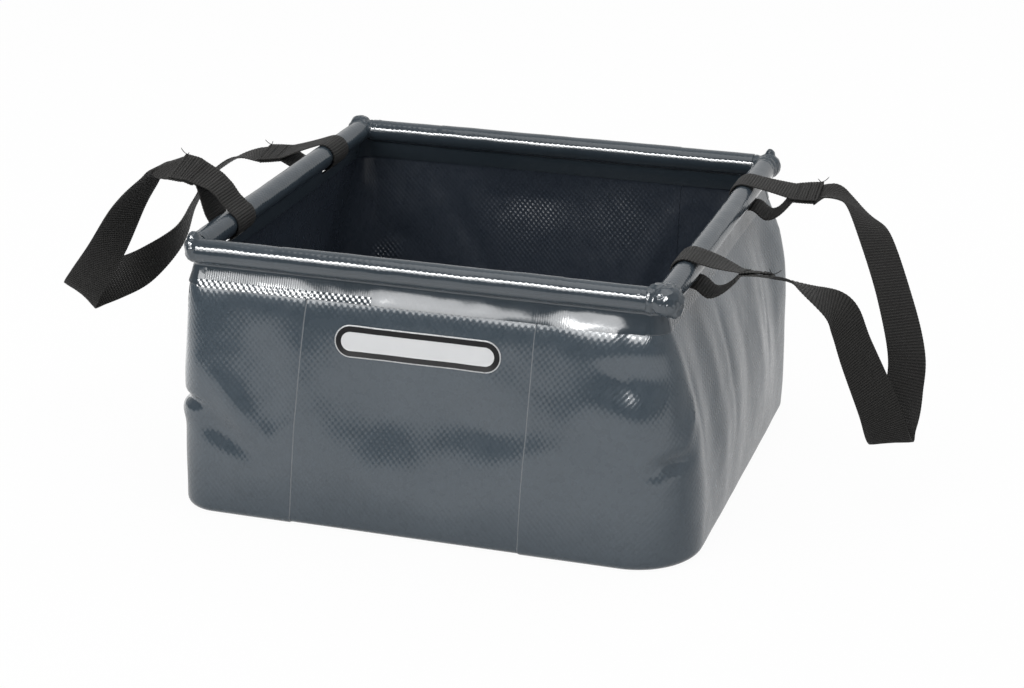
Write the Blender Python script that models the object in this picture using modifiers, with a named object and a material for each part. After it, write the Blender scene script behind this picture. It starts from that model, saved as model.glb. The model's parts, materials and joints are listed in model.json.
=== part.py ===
"""A collapsible camp washbasin: a square bowl of coated fabric, a rim of four rods in welded hems,
and two webbing handles looped round the side hems. Lengths are in metres, +Z is up, the front
faces -Y, and the origin is the centre of the underside, on the ground."""

import math

import bmesh
import bpy
from mathutils import Matrix, Vector

# Bowl
rim_span = 0.280
rim_height = 0.158
fabric_thickness = 0.0008
lap_gap = 0.0003
seat_gap = 0.0003
band_thickness = 0.0022
band_height = 0.0116
front_left_base_radius = 0.022
front_right_base_radius = 0.040
back_right_base_radius = 0.020
back_left_base_radius = 0.028
floor_edge_radius = 0.012
left_flare = 0.008
right_flare = 0.021
front_flare = 0.013
back_flare = -0.009
wall_crown = 0.004
lap_seam_offset = 0.068
lap_width = 0.015
floor_step_run = 0.007
flare_power = 2.4
crown_power = 0.8
fold_hold = 2.0
corner_share = 0.12

# Rim
rod_radius = 0.0060
rod_wall = 0.0012
sleeve_clearance = 0.0003
sleeve_thickness = 0.00095
cap_head_length = 0.0020
cap_stem_length = 0.0080
cap_fit_clearance = 0.0001
cap_end_clearance = 0.0010
cap_seat_clearance = 0.0001
corner_half_width = 0.0082
corner_bulb_inset = 0.0002
corner_bulb_rounding = 0.0050
corner_ear = 0.0040
corner_ear_spread = 0.0075
corner_ear_steepness = 2.0
corner_skirt_overlap = 0.0030
slot_length = 0.044
slot_height = 0.0080
slot_bite = 0.0003
cut_overrun = 0.0010
merge_distance = 0.00002

# Handles
strap_width = 0.025
strap_thickness = 0.0015
strap_layer_gap = 0.0003
strap_sleeve_gap = 0.00045
loop_offset = 0.078
loop_apex = 0.030
loop_leg_sag = 0.004
sewn_end = 0.047
left_near_loop_angle = math.radians(39)
left_far_loop_angle = math.radians(-9)
right_near_loop_angle = math.radians(0)
right_far_loop_angle = math.radians(5)

# Label
label_length = 0.099
label_height = 0.019
label_thickness = 0.0005
label_drop = 0.041
label_shift = 0.001
label_end_share = 0.995

# Share of the handle's reach, of the loops' offset and of the reach again, then the way the
# strap's width points: outwards, backwards, upwards.
handle_reach = 0.130
left_strap_shares = (
    (0.325, -0.91, 0.218, (-0.10, 0.96, 0.15)),
    (0.410, -0.90, 0.190, (0.05, 0.97, -0.05)),
    (0.515, -0.87, 0.108, (-0.15, 0.98, 0.02)),
    (0.645, -0.79, -0.045, (-0.50, 0.84, 0.02)),
    (0.805, -0.67, -0.265, (-0.76, 0.60, -0.20)),
    (0.938, -0.54, -0.482, (-0.84, 0.34, -0.38)),
    (0.975, -0.46, -0.565, (-0.86, 0.12, -0.46)),
    (0.980, -0.36, -0.605, (-0.86, -0.05, -0.48)),
    (0.948, -0.25, -0.605, (-0.82, -0.15, -0.54)),
    (0.870, -0.10, -0.568, (-0.64, -0.12, -0.74)),
    (0.745, 0.08, -0.492, (-0.20, 0.20, -0.95)),
    (0.655, 0.30, -0.395, (0.10, 0.62, -0.76)),
    (0.612, 0.50, -0.275, (0.18, 0.92, -0.34)),
    (0.570, 0.70, -0.165, (0.10, 0.98, -0.15)),
    (0.480, 0.88, -0.100, (0.02, 0.99, -0.05)),
)
right_strap_shares = (
    (0.450, -0.95, -0.025, (0.00, 0.97, -0.22)),
    (0.560, -0.93, -0.075, (0.10, 0.98, 0.05)),
    (0.660, -0.88, -0.180, (0.30, 0.90, 0.30)),
    (0.735, -0.78, -0.370, (0.60, 0.68, 0.42)),
    (0.808, -0.62, -0.620, (0.86, 0.36, 0.36)),
    (0.862, -0.43, -0.812, (0.96, 0.16, 0.22)),
    (0.880, -0.32, -0.850, (0.98, 0.05, 0.16)),
    (0.890, -0.22, -0.828, (0.98, 0.02, 0.12)),
    (0.900, -0.08, -0.690, (0.94, 0.22, 0.02)),
    (0.882, 0.10, -0.525, (0.90, 0.36, -0.14)),
    (0.805, 0.32, -0.322, (0.86, 0.36, -0.30)),
    (0.685, 0.55, -0.140, (0.78, 0.42, -0.44)),
    (0.585, 0.72, -0.035, (0.50, 0.76, -0.36)),
    (0.480, 0.88, 0.020, (0.12, 0.98, -0.05)),
)

# Main folds and hollows of the walls. Each has its wall, its place as a share of that wall's
# length and height, its depth inwards, its reach along the wall and its reach up the wall.
pinch_depth = 0.010
pinch_reach = 0.012
pinch_rise = 0.007
hollow_depth = 0.005
hollow_reach = 0.038
hollow_rise = 0.040
fold_depth = 0.004
fold_reach = 0.013
fold_rise = 0.060
wall_fold_shares = (
    ("left", 0.96, 0.42, pinch_depth, pinch_reach, pinch_rise),
    ("front", 0.03, 0.40, pinch_depth, pinch_reach, pinch_rise),
    ("front", 0.24, 0.30, hollow_depth, hollow_reach, hollow_rise),
    ("front", 0.83, 0.62, hollow_depth, hollow_reach, hollow_rise),
    ("right", 0.16, 0.62, fold_depth, fold_reach, fold_rise),
    ("right", 0.50, 0.50, fold_depth, fold_reach, fold_rise),
    ("right", 0.80, 0.55, fold_depth, fold_reach, fold_rise),
    ("back", 0.40, 0.45, hollow_depth, hollow_reach, hollow_rise),
    ("left", 0.45, 0.50, hollow_depth, hollow_reach, hollow_rise),
)

# Counts
side_steps = 14
corner_steps = 6
wall_rows = 13
floor_edge_steps = 4
round_sides = 24
loop_steps = 12
leg_steps = 3
route_steps = 4
label_steps = 18
label_rows = 4
corner_round_steps = 4
sharp_angle = math.radians(40)

# Worked out from the sizes above
rim_half = rim_span / 2
sleeve_inner_radius = rod_radius + sleeve_clearance
sleeve_radius = sleeve_inner_radius + sleeve_thickness
band_bottom = rim_height - sleeve_radius - band_height
wall_top = band_bottom - seat_gap
wall_face = rim_half + band_thickness / 2
inner_layer_inset = fabric_thickness + lap_gap
sleeve_length = rim_span - 2 * (corner_half_width + seat_gap)
rod_length = sleeve_length - 2 * (cap_end_clearance + cap_head_length + cap_seat_clearance)
strap_loop_radius = sleeve_radius + strap_sleeve_gap + strap_thickness / 2
strap_layer_offset = (strap_thickness + strap_layer_gap) / 2


def clear_scene():
    for item in list(bpy.data.objects):
        bpy.data.objects.remove(item, do_unlink=True)


def new_collection(name):
    collection = bpy.data.collections.new(name)
    bpy.context.scene.collection.children.link(collection)
    return collection


def new_material(name, colour, roughness, metallic=0.0):
    material = bpy.data.materials.new(name)
    material.use_nodes = True
    shader = material.node_tree.nodes["Principled BSDF"]
    shader.inputs["Base Color"].default_value = (*colour, 1.0)
    shader.inputs["Roughness"].default_value = roughness
    shader.inputs["Metallic"].default_value = metallic
    material.diffuse_color = (*colour, 1.0)
    return material


def new_frame(name, place, parent=None):
    """An empty that carries the pieces of one moving group."""
    frame = bpy.data.objects.new(name, None)
    parts.objects.link(frame)
    frame.parent = parent
    frame.location = place
    if parent:
        frame.location = Vector(place) - parent.location
    return frame


def new_piece(name, mesh, material, frame, smooth=True):
    """An object whose mesh is given in the bowl's own frame, hung on one of the empties."""
    piece = bpy.data.objects.new(name, mesh)
    parts.objects.link(piece)
    mesh.name = name
    mesh.materials.clear()
    mesh.materials.append(material)
    bpy.context.view_layer.update()
    origin = frame.matrix_world.translation
    mesh.transform(Matrix.Translation(-origin))
    piece.parent = frame
    if smooth:
        mesh.shade_smooth()
        mesh.set_sharp_from_angle(angle=sharp_angle)
    return piece


def mesh_from(shape, name):
    bmesh.ops.recalc_face_normals(shape, faces=shape.faces)
    mesh = bpy.data.meshes.new(name)
    shape.to_mesh(mesh)
    shape.free()
    return mesh


def flat_outline_mesh(name, loops, depth):
    """A flat outline, with any holes, given depth along Z, centred on its own plane."""
    curve = bpy.data.curves.new(name, "CURVE")
    curve.dimensions = "2D"
    curve.fill_mode = "BOTH"
    curve.extrude = depth / 2
    for points in loops:
        spline = curve.splines.new("POLY")
        spline.points.add(len(points) - 1)
        for spot, (x, y) in zip(spline.points, points):
            spot.co = (x, y, 0.0, 1.0)
        spline.use_cyclic_u = True
    helper = bpy.data.objects.new(name, curve)
    parts.objects.link(helper)
    bpy.context.view_layer.update()
    graph = bpy.context.evaluated_depsgraph_get()
    mesh = bpy.data.meshes.new_from_object(helper.evaluated_get(graph))
    bpy.data.objects.remove(helper, do_unlink=True)
    shape = bmesh.new()
    shape.from_mesh(mesh)
    bmesh.ops.remove_doubles(shape, verts=shape.verts, dist=merge_distance)
    shape.to_mesh(mesh)
    shape.free()
    return mesh


def boolean(piece, other, operation):
    modifier = piece.modifiers.new(operation.title(), "BOOLEAN")
    modifier.operation = operation
    modifier.object = other
    modifier.solver = "EXACT"


def as_cutter(helper):
    helper.hide_render = True
    helper.display_type = "WIRE"
    for owner in list(helper.users_collection):
        owner.objects.unlink(helper)
    cutters.objects.link(helper)


def arc(centre, radius, start, end, steps):
    """Points along an arc, both ends included."""
    points = []
    for step in range(steps + 1):
        angle = start + (end - start) * step / steps
        points.append((centre[0] + radius * math.cos(angle), centre[1] + radius * math.sin(angle)))
    return points


def fold_inwards(side, along, height):
    """How far the named folds draw this spot of a wall in towards the bowl."""
    depth = 0.0
    for name, along_share, height_share, fold, reach, rise in wall_fold_shares:
        if name != side:
            continue
        sideways = (along - along_share) * rim_span / reach
        upwards = (height - height_share * wall_top) / rise
        depth += fold * math.exp(-sideways * sideways - upwards * upwards)
    return depth


def outline(height, inset):
    """The bowl's outline at one height, anticlockwise from the front left corner. Each point
    comes with its wall's name, its share along that wall and its outward direction."""
    spread = 1 - (height / wall_top) ** flare_power
    left = -(wall_face + left_flare * spread) + inset
    right = wall_face + right_flare * spread - inset
    front = -(wall_face + front_flare * spread) + inset
    back = wall_face + back_flare * spread - inset
    top_radius = corner_half_width + band_thickness / 2
    base_radii = (
        front_left_base_radius,
        front_right_base_radius,
        back_right_base_radius,
        back_left_base_radius,
    )
    radii = [top_radius + (base - top_radius) * spread - inset for base in base_radii]
    corners = (
        Vector((left + radii[0], front + radii[0])),
        Vector((right - radii[1], front + radii[1])),
        Vector((right - radii[2], back - radii[2])),
        Vector((left + radii[3], back - radii[3])),
    )
    spots = []
    for index, name in enumerate(("front", "right", "back", "left")):
        after = (index + 1) % 4
        facing = math.radians(90 * index - 90)
        outward = Vector((math.cos(facing), math.sin(facing)))
        start = corners[index] + outward * radii[index]
        end = corners[after] + outward * radii[after]
        for step in range(side_steps):
            share = step / side_steps
            along = corner_share + (1 - 2 * corner_share) * share
            spots.append((start.lerp(end, share), name, along, outward))
        for step in range(corner_steps):
            share = step / corner_steps
            turn = facing + math.pi / 2 * share
            outward = Vector((math.cos(turn), math.sin(turn)))
            along = 1 - corner_share * (1 - share)
            spots.append((corners[after] + outward * radii[after], name, along, outward))
    return spots


def wall_ring(height, inset, ease=1.0):
    """One ring of the bowl's surface, crowned and folded."""
    ring = []
    down = 1 - height / wall_top
    held = math.sin(math.pi * min(max(down, 0.0), 1.0)) ** crown_power
    for place, name, along, outward in outline(height, inset):
        crown = wall_crown * math.sin(math.pi * along) * held
        fold = fold_inwards(name, along, height) * min(1.0, held * fold_hold)
        ring.append(place + outward * (crown - fold) * ease)
    return ring


def bowl_surface(inset):
    """The open surface of the whole bowl, walls, rounded floor edge and floor, drawn in by the
    inset. Its faces look outwards."""
    shape = bmesh.new()
    rings = []
    for row in range(wall_rows + 1):
        height = wall_top + (floor_edge_radius - wall_top) * row / wall_rows
        ring = [(*spot, height) for spot in wall_ring(height, inset)]
        rings.append(ring)
    bend = floor_edge_radius - inset
    for step in range(1, floor_edge_steps + 1):
        turn = math.pi / 2 * step / floor_edge_steps
        drawn_in = floor_edge_radius - bend * math.cos(turn)
        height = floor_edge_radius - bend * math.sin(turn)
        ease = 1 - step / floor_edge_steps
        base = wall_ring(floor_edge_radius, drawn_in, ease)
        rings.append([(*spot, height) for spot in base])
    rows = [[shape.verts.new(point) for point in ring] for ring in rings]
    count = len(rows[0])
    for upper, lower in zip(rows, rows[1:]):
        for index in range(count):
            after = (index + 1) % count
            shape.faces.new((upper[index], lower[index], lower[after], upper[after]))
    shape.faces.new(rows[-1])
    bmesh.ops.recalc_face_normals(shape, faces=shape.faces)
    return shape


def cut_across(shape, offset, drop_beyond=0):
    """Cuts the surface by an upright plane at this X, and drops one side of it if asked."""
    bmesh.ops.bisect_plane(
        shape,
        geom=shape.verts[:] + shape.edges[:] + shape.faces[:],
        plane_co=(offset, 0, 0),
        plane_no=(1, 0, 0),
        clear_outer=drop_beyond > 0,
        clear_inner=drop_beyond < 0,
    )


def face_outwards(shape):
    """Turns every face so that the open bowl's surface looks away from its inside."""
    shape.faces.ensure_lookup_table()
    lowest = min(shape.faces, key=lambda face: face.calc_center_median().z)
    lowest.normal_update()
    if lowest.normal.z > 0:
        bmesh.ops.reverse_faces(shape, faces=shape.faces)


def fabric_piece(name, shape, material):
    face_outwards(shape)
    mesh = bpy.data.meshes.new(name)
    shape.to_mesh(mesh)
    shape.free()
    piece = new_piece(name, mesh, material, base_frame)
    thicken = piece.modifiers.new("Fabric", "SOLIDIFY")
    thicken.thickness = fabric_thickness
    thicken.offset = -1.0
    thicken.use_even_offset = True
    return piece


def add_sheets():
    """A centre sheet that runs down the front, under the floor and up the back, and two side
    sheets that wrap round the corners and lap outside it."""
    shape = bowl_surface(inner_layer_inset)
    edge = lap_seam_offset + lap_width
    step_start = lap_seam_offset - floor_step_run
    step_end = lap_seam_offset - lap_gap
    cut_across(shape, edge, drop_beyond=1)
    cut_across(shape, -edge, drop_beyond=-1)
    for place in (step_start, step_end, -step_start, -step_end):
        cut_across(shape, place)
    reach = (step_start + step_end) / 2
    for vert in shape.verts:
        if abs(vert.co.x) < reach and vert.co.z < floor_edge_radius:
            rise = floor_edge_radius - inner_layer_inset
            vert.co.z -= inner_layer_inset * (floor_edge_radius - vert.co.z) / rise
    fabric_piece("centre_sheet", shape, fabric_material)
    for name, side in (("left_sheet", -1), ("right_sheet", 1)):
        shape = bowl_surface(0.0)
        cut_across(shape, side * lap_seam_offset, drop_beyond=-side)
        fabric_piece(name, shape, fabric_material)


def hem_profile():
    """A sleeve round the rod with the welded band hanging from it, seen along the rod."""
    half_band = band_thickness / 2
    opening = math.asin(half_band / sleeve_radius)
    below = -math.pi / 2
    outer = arc((0, 0), sleeve_radius, below + opening, below + 2 * math.pi - opening, round_sides)
    foot = -sleeve_radius - band_height
    outer += [(-half_band, foot), (half_band, foot)]
    inner = arc((0, 0), sleeve_inner_radius, 2 * math.pi, 0, round_sides)[:-1]
    return outer, inner


def rod_placement(side):
    """Turns a shape made along Z, with its up along Y, to lie along one side of the rim."""
    facing = {"front": 0, "right": 90, "back": 180, "left": 270}[side]
    upright = Matrix.Rotation(math.pi / 2, 4, "X")
    along = Matrix.Rotation(math.pi / 2, 4, "Z") @ upright
    around = Matrix.Rotation(math.radians(facing), 4, "Z")
    out = Matrix.Translation((0, -rim_half, rim_height))
    return around @ out @ along


def slot_cutter(name, place):
    """A long slot with round ends, cut through the band just under the sleeve."""
    radius = slot_height / 2
    reach = slot_length / 2 - radius
    points = arc((reach, 0), radius, -math.pi / 2, math.pi / 2, round_sides // 2)
    points += arc((-reach, 0), radius, math.pi / 2, 3 * math.pi / 2, round_sides // 2)
    mesh = flat_outline_mesh(name, [points], band_thickness + 2 * cut_overrun)
    mesh.transform(Matrix.Rotation(math.pi / 2, 4, "X"))
    mesh.transform(Matrix.Rotation(math.pi / 2, 4, "Z"))
    mesh.transform(Matrix.Translation(place))
    helper = bpy.data.objects.new(name, mesh)
    parts.objects.link(helper)
    as_cutter(helper)
    return helper


def add_hems():
    slot_middle = rim_height - sleeve_radius + slot_bite - slot_height / 2
    for side in ("front", "back", "left", "right"):
        outer, inner = hem_profile()
        mesh = flat_outline_mesh(side + "_hem", [outer, inner], sleeve_length)
        mesh.transform(rod_placement(side))
        piece = new_piece(side + "_hem", mesh, hem_material, rim_frame)
        if side not in ("left", "right"):
            continue
        across = rim_half if side == "right" else -rim_half
        for where in (-loop_offset, loop_offset):
            name = side + ("_near" if where < 0 else "_far") + "_slot"
            boolean(piece, slot_cutter(name, (across, where, slot_middle)), "DIFFERENCE")


def add_rods():
    """Four tubes in the hems, with a plug in each end."""
    stem_radius = rod_radius - rod_wall - cap_fit_clearance
    profile = (
        (0, cap_head_length),
        (rod_radius, cap_head_length),
        (rod_radius, 0),
        (stem_radius, 0),
        (stem_radius, -cap_stem_length),
        (0, -cap_stem_length),
    )
    for side in ("front", "back", "left", "right"):
        placing = rod_placement(side)
        shape = bmesh.new()
        bmesh.ops.create_cone(
            shape,
            cap_ends=False,
            segments=round_sides,
            radius1=rod_radius,
            radius2=rod_radius,
            depth=rod_length,
        )
        mesh = mesh_from(shape, side + "_rod")
        mesh.transform(placing)
        rod = new_piece(side + "_rod", mesh, rod_material, rim_frame)
        thicken = rod.modifiers.new("Wall", "SOLIDIFY")
        thicken.thickness = rod_wall
        thicken.offset = -1.0
        for end, sign in (("first", 1), ("second", -1)):
            name = side + "_rod_" + end + "_plug"
            mesh = bpy.data.meshes.new(name)
            points = [(radius, 0, height + cap_seat_clearance) for radius, height in profile]
            edges = [(index, index + 1) for index in range(len(points) - 1)]
            mesh.from_pydata(points, edges, [])
            plug = bpy.data.objects.new(name, mesh)
            parts.objects.link(plug)
            mesh.materials.append(plug_material)
            turn = plug.modifiers.new("Turned", "SCREW")
            turn.steps = round_sides
            turn.render_steps = round_sides
            turn.use_merge_vertices = True
            turn.merge_threshold = merge_distance
            turn.use_smooth_shade = True
            plug.parent = rim_frame
            flip = Matrix.Rotation(math.pi if sign < 0 else 0.0, 4, "X")
            slide = Matrix.Translation((0, 0, rod_length / 2))
            hang = Matrix.Translation(-rim_frame.matrix_world.translation)
            plug.matrix_local = hang @ placing @ flip @ slide


def add_corners():
    """A gathered knuckle of fabric at each corner, over the band that rounds the corner."""
    half = corner_half_width - corner_bulb_inset
    skirt_radius = corner_half_width
    for name, side_x, side_y in (
        ("front_left_corner", -1, -1),
        ("front_right_corner", 1, -1),
        ("back_right_corner", 1, 1),
        ("back_left_corner", -1, 1),
    ):
        shape = bmesh.new()
        bmesh.ops.create_cube(shape, size=2 * half)
        bmesh.ops.bevel(
            shape,
            geom=shape.edges[:],
            offset=corner_bulb_rounding,
            segments=corner_round_steps,
            affect="EDGES",
        )
        outward = Vector((side_x, side_y, 0)).normalized()
        tip = Vector((0, 0, half)) + outward * half
        pull = (Vector((0, 0, corner_ear_steepness)) + outward).normalized() * corner_ear
        for vert in shape.verts:
            far = (vert.co - tip).length / corner_ear_spread
            vert.co += pull * math.exp(-far * far)
        mesh = mesh_from(shape, name)
        mesh.transform(Matrix.Translation((side_x * rim_half, side_y * rim_half, rim_height)))
        piece = new_piece(name, mesh, hem_material, rim_frame)

        centre = (side_x * (rim_half - skirt_radius), side_y * (rim_half - skirt_radius))
        start = math.atan2(side_y, side_x) - math.pi / 4
        outer = arc(centre, skirt_radius + band_thickness / 2, start, start + math.pi / 2, corner_steps)
        inner = arc(centre, skirt_radius - band_thickness / 2, start + math.pi / 2, start, corner_steps)
        top = rim_height - half + corner_skirt_overlap
        mesh = flat_outline_mesh(name + "_skirt", [outer + inner], top - band_bottom)
        mesh.transform(Matrix.Translation((0, 0, (top + band_bottom) / 2)))
        skirt = bpy.data.objects.new(name + "_skirt", mesh)
        parts.objects.link(skirt)
        as_cutter(skirt)
        boolean(piece, skirt, "UNION")


def loop_points(angle):
    """One end of a strap, from its raw end round the sleeve and back out to where the sewing
    ends: pairs of distance outwards and upwards from the rod's axis."""
    height = strap_layer_offset
    distance = math.hypot(loop_apex, height)
    touch = math.atan2(height, loop_apex) + math.acos(strap_loop_radius / distance)
    local = [(sewn_end, height), ((sewn_end + loop_apex) / 2, height), (loop_apex, height)]
    ring = arc((0, 0), strap_loop_radius, touch, 2 * math.pi - touch, loop_steps)
    for step in range(1, leg_steps + 1):
        share = step / (leg_steps + 1)
        local.append(tuple(Vector(local[2]).lerp(Vector(ring[0]), share)))
    local += ring
    for step in range(1, leg_steps + 1):
        share = step / (leg_steps + 1)
        sag = Vector((0, -loop_leg_sag * math.sin(math.pi * share)))
        local.append(tuple(Vector(ring[-1]).lerp(Vector((loop_apex, -height)), share) + sag))
    local += [(loop_apex, -height), ((sewn_end + loop_apex) / 2, -height), (sewn_end, -height)]
    cosine, sine = math.cos(angle), math.sin(angle)
    return [(a * cosine - b * sine, a * sine + b * cosine) for a, b in local]


def smooth_route(points, steps):
    """A curve through the points, with this many steps between each two."""
    route = []
    last = len(points) - 1
    for index in range(last):
        before = points[max(index - 1, 0)]
        start, end = points[index], points[index + 1]
        after = points[min(index + 2, last)]
        for step in range(steps):
            t = step / steps
            spot = (
                start * 2
                + (end - before) * t
                + (before * 2 - start * 5 + end * 4 - after) * t * t
                + (start * 3 - before - end * 3 + after) * t * t * t
            )
            route.append(spot / 2)
    route.append(points[-1])
    return route


def strap_stations(near_angle, far_angle, shares):
    """The strap's centres and width directions, in distances outwards, backwards and upwards
    from the middle of the rod's axis."""
    backwards = Vector((0, 1, 0))
    near = [Vector((a, -loop_offset, b)) for a, b in loop_points(near_angle)]
    far = [Vector((a, loop_offset, b)) for a, b in reversed(loop_points(far_angle))]
    middle = []
    turns = []
    for out_share, along_share, up_share, direction in shares:
        middle.append(
            Vector((out_share * handle_reach, along_share * loop_offset, up_share * handle_reach))
        )
        turns.append(Vector(direction).normalized())
    places = smooth_route(near[-2:] + middle + far[:2], route_steps)[route_steps:-route_steps]
    ways = smooth_route([backwards] * 2 + turns + [backwards] * 2, route_steps)
    ways = ways[route_steps:-route_steps]
    centres = near[:-1] + places[:-1] + far
    widths = [backwards] * (len(near) - 1) + ways[:-1] + [backwards] * len(far)
    return centres, widths


def ribbon_mesh(name, centres, widths, width, thickness):
    """A flat strap swept along its centres, its width pointing as given at each."""
    shape = bmesh.new()
    rings = []
    last = len(centres) - 1
    for index, centre in enumerate(centres):
        ahead = centres[min(index + 1, last)] - centres[max(index - 1, 0)]
        ahead.normalize()
        across = widths[index] - ahead * widths[index].dot(ahead)
        across.normalize()
        outward = ahead.cross(across)
        ring = []
        for side, face in ((-1, -1), (1, -1), (1, 1), (-1, 1)):
            spot = centre + across * (side * width / 2) + outward * (face * thickness / 2)
            ring.append(shape.verts.new(spot))
        rings.append(ring)
    for first, second in zip(rings, rings[1:]):
        for index in range(4):
            after = (index + 1) % 4
            shape.faces.new((first[index], first[after], second[after], second[index]))
    shape.faces.new(rings[0])
    shape.faces.new(rings[-1])
    return shape


def add_handles():
    for name, side, near_angle, far_angle, shares in (
        ("left_handle", -1, left_near_loop_angle, left_far_loop_angle, left_strap_shares),
        ("right_handle", 1, right_near_loop_angle, right_far_loop_angle, right_strap_shares),
    ):
        centres, widths = strap_stations(near_angle, far_angle, shares)
        axis = Vector((side * rim_half, 0, rim_height))
        turned = [Vector((side * spot.x, spot.y, spot.z)) + axis for spot in centres]
        ways = [Vector((side * way.x, way.y, way.z)) for way in widths]
        shape = ribbon_mesh(name, turned, ways, strap_width, strap_thickness)
        mesh = mesh_from(shape, name)
        frame = new_frame(name + "_hinge", axis, rim_frame)
        new_piece(name, mesh, webbing_material, frame, smooth=False)


def front_face(across, height):
    """The Y of the centre sheet's outer face, by its X and its height."""
    ring = wall_ring(height, inner_layer_inset)[: side_steps + 1]
    for first, second in zip(ring, ring[1:]):
        if first.x <= across <= second.x:
            share = (across - first.x) / (second.x - first.x)
            return first.y + (second.y - first.y) * share
    return ring[0].y


def add_label():
    """A pill-shaped plate of film that follows the front wall."""
    radius = label_height / 2
    straight = label_length / 2 - radius
    middle = rim_height - label_drop
    shape = bmesh.new()
    rows = []
    for step in range(label_steps + 1):
        turn = math.pi * (step / label_steps - 1 / 2)
        across = label_length / 2 * math.sin(turn) * label_end_share
        beyond = max(abs(across) - straight, 0.0)
        half = math.sqrt(radius * radius - beyond * beyond)
        row = []
        for level in range(label_rows + 1):
            height = middle + half * (2 * level / label_rows - 1)
            face = front_face(label_shift + across, height) - seat_gap
            row.append(shape.verts.new((label_shift + across, face, height)))
        rows.append(row)
    for first, second in zip(rows, rows[1:]):
        for index in range(len(first) - 1):
            shape.faces.new((first[index], second[index], second[index + 1], first[index + 1]))
    shape.normal_update()
    if shape.faces[:][0].normal.y > 0:
        bmesh.ops.reverse_faces(shape, faces=shape.faces)
    mesh = bpy.data.meshes.new("label")
    shape.to_mesh(mesh)
    shape.free()
    piece = new_piece("label", mesh, label_material, base_frame)
    thicken = piece.modifiers.new("Film", "SOLIDIFY")
    thicken.thickness = label_thickness
    thicken.offset = 1.0


clear_scene()
parts = new_collection("camp_washbasin")
cutters = new_collection("washbasin_cutters")
cutters.hide_render = True

fabric_material = new_material("coated_fabric", (0.072, 0.088, 0.102), 0.42)
hem_material = new_material("hem_fabric", (0.082, 0.098, 0.112), 0.26)
rod_material = new_material("rod", (0.55, 0.56, 0.58), 0.35, 0.9)
plug_material = new_material("rod_plug", (0.03, 0.03, 0.03), 0.5)
webbing_material = new_material("webbing", (0.022, 0.021, 0.020), 0.85)
label_material = new_material("label_film", (0.80, 0.80, 0.80), 0.4)

base_frame = new_frame("base_frame", (0, 0, 0))
rim_frame = new_frame("rim_slide", (0, 0, rim_height), base_frame)
bpy.context.view_layer.update()

add_sheets()
add_hems()
add_rods()
add_corners()
add_handles()
add_label()
bpy.context.view_layer.update()
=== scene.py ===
"""Looks of the camp washbasin: coated fabric with a pressed weave, glossy welded hems, gathered
corners, ribbed webbing handles and a plain pill-shaped label. Lengths are in metres."""

import json
from math import acos, atan2, cos, exp, hypot, log1p, pi, radians, sin

import bmesh
import bpy
from mathutils import Matrix, Vector, noise
from mathutils.bvhtree import BVHTree


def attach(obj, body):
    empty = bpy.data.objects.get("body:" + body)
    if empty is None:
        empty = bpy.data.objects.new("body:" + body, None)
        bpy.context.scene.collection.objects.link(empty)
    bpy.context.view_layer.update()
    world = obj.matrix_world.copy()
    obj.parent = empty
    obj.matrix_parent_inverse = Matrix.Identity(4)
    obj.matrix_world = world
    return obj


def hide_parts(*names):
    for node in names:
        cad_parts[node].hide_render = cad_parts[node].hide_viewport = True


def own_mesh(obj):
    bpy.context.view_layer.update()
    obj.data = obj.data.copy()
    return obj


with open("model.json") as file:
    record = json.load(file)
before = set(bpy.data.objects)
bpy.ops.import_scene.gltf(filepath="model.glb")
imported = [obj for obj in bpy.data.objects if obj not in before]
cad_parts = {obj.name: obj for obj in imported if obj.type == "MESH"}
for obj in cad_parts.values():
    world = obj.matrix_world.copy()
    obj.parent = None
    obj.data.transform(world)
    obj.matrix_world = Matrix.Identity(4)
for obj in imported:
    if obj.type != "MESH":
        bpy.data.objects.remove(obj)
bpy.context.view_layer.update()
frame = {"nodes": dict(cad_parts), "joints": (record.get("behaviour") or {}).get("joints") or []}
bpy.context.scene.view_settings.view_transform = "Standard"

# Sizes of the part. The slots and the floor's edge are finer than in its plain solids
rim_span = 0.280
rim_height = 0.158
rim_half = rim_span / 2
wall_top = 0.13885
sleeve_radius = 0.00725
corner_half_width = 0.0082
base_radii = (0.022, 0.040, 0.020, 0.028)
floor_edge_radius = 0.005
flares = {"left": 0.008, "right": 0.021, "front": 0.015, "back": -0.009}
crown_power = 0.8
fold_hold = 2.0
flare_power = 2.4
lap_edge_offset = 0.083
# Each lap seam's place at the wall's top and at the floor
lap_seams = {"left": (-0.0660, -0.0765), "right": (0.0690, 0.0625)}
slot_length = 0.031
slot_height = 0.0040
slot_middle = 0.14895
loop_offset = 0.078
strap_width = 0.025
strap_thickness = 0.0015
label_length = 0.099
label_height = 0.019
label_middle = 0.117
label_shift = 0.001

# Finish of the fabric
cloth_thickness = 0.0005
lap_step = 0.00052
wall_face = rim_half + 0.0009
tuck_height = 0.0015
lean_reach = 0.045
roll_outs = {"front": 0.0034, "right": 0.0006, "back": 0.0006, "left": 0.0004}
roll_reach = 0.0085
roll_drop = 0.0004
# Width of the pale seam bead, which is partly a painted highlight on the lap's edge
seam_bead = 0.0006
seam_sink = 0.0005
floor_margin = 0.0001
weave_pitch_across = 0.0018
weave_pitch_up = 0.0021

# Counts
side_steps = 100
corner_steps = 16
wall_rows = 80
edge_rows = 6
floor_rings = 16


# Helpers

def limited(value, low=0.0, high=1.0):
    return min(max(value, low), high)


def smoothstep(low, high, value):
    share = limited((value - low) / (high - low))
    return share * share * (3 - 2 * share)


def along_table(table, value):
    """The value between the rows of a table of (place, value), eased from row to row."""
    if value <= table[0][0]:
        return table[0][1]
    for (place, low), (after, high) in zip(table, table[1:]):
        if value <= after:
            return low + (high - low) * smoothstep(place, after, value)
    return table[-1][1]


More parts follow.
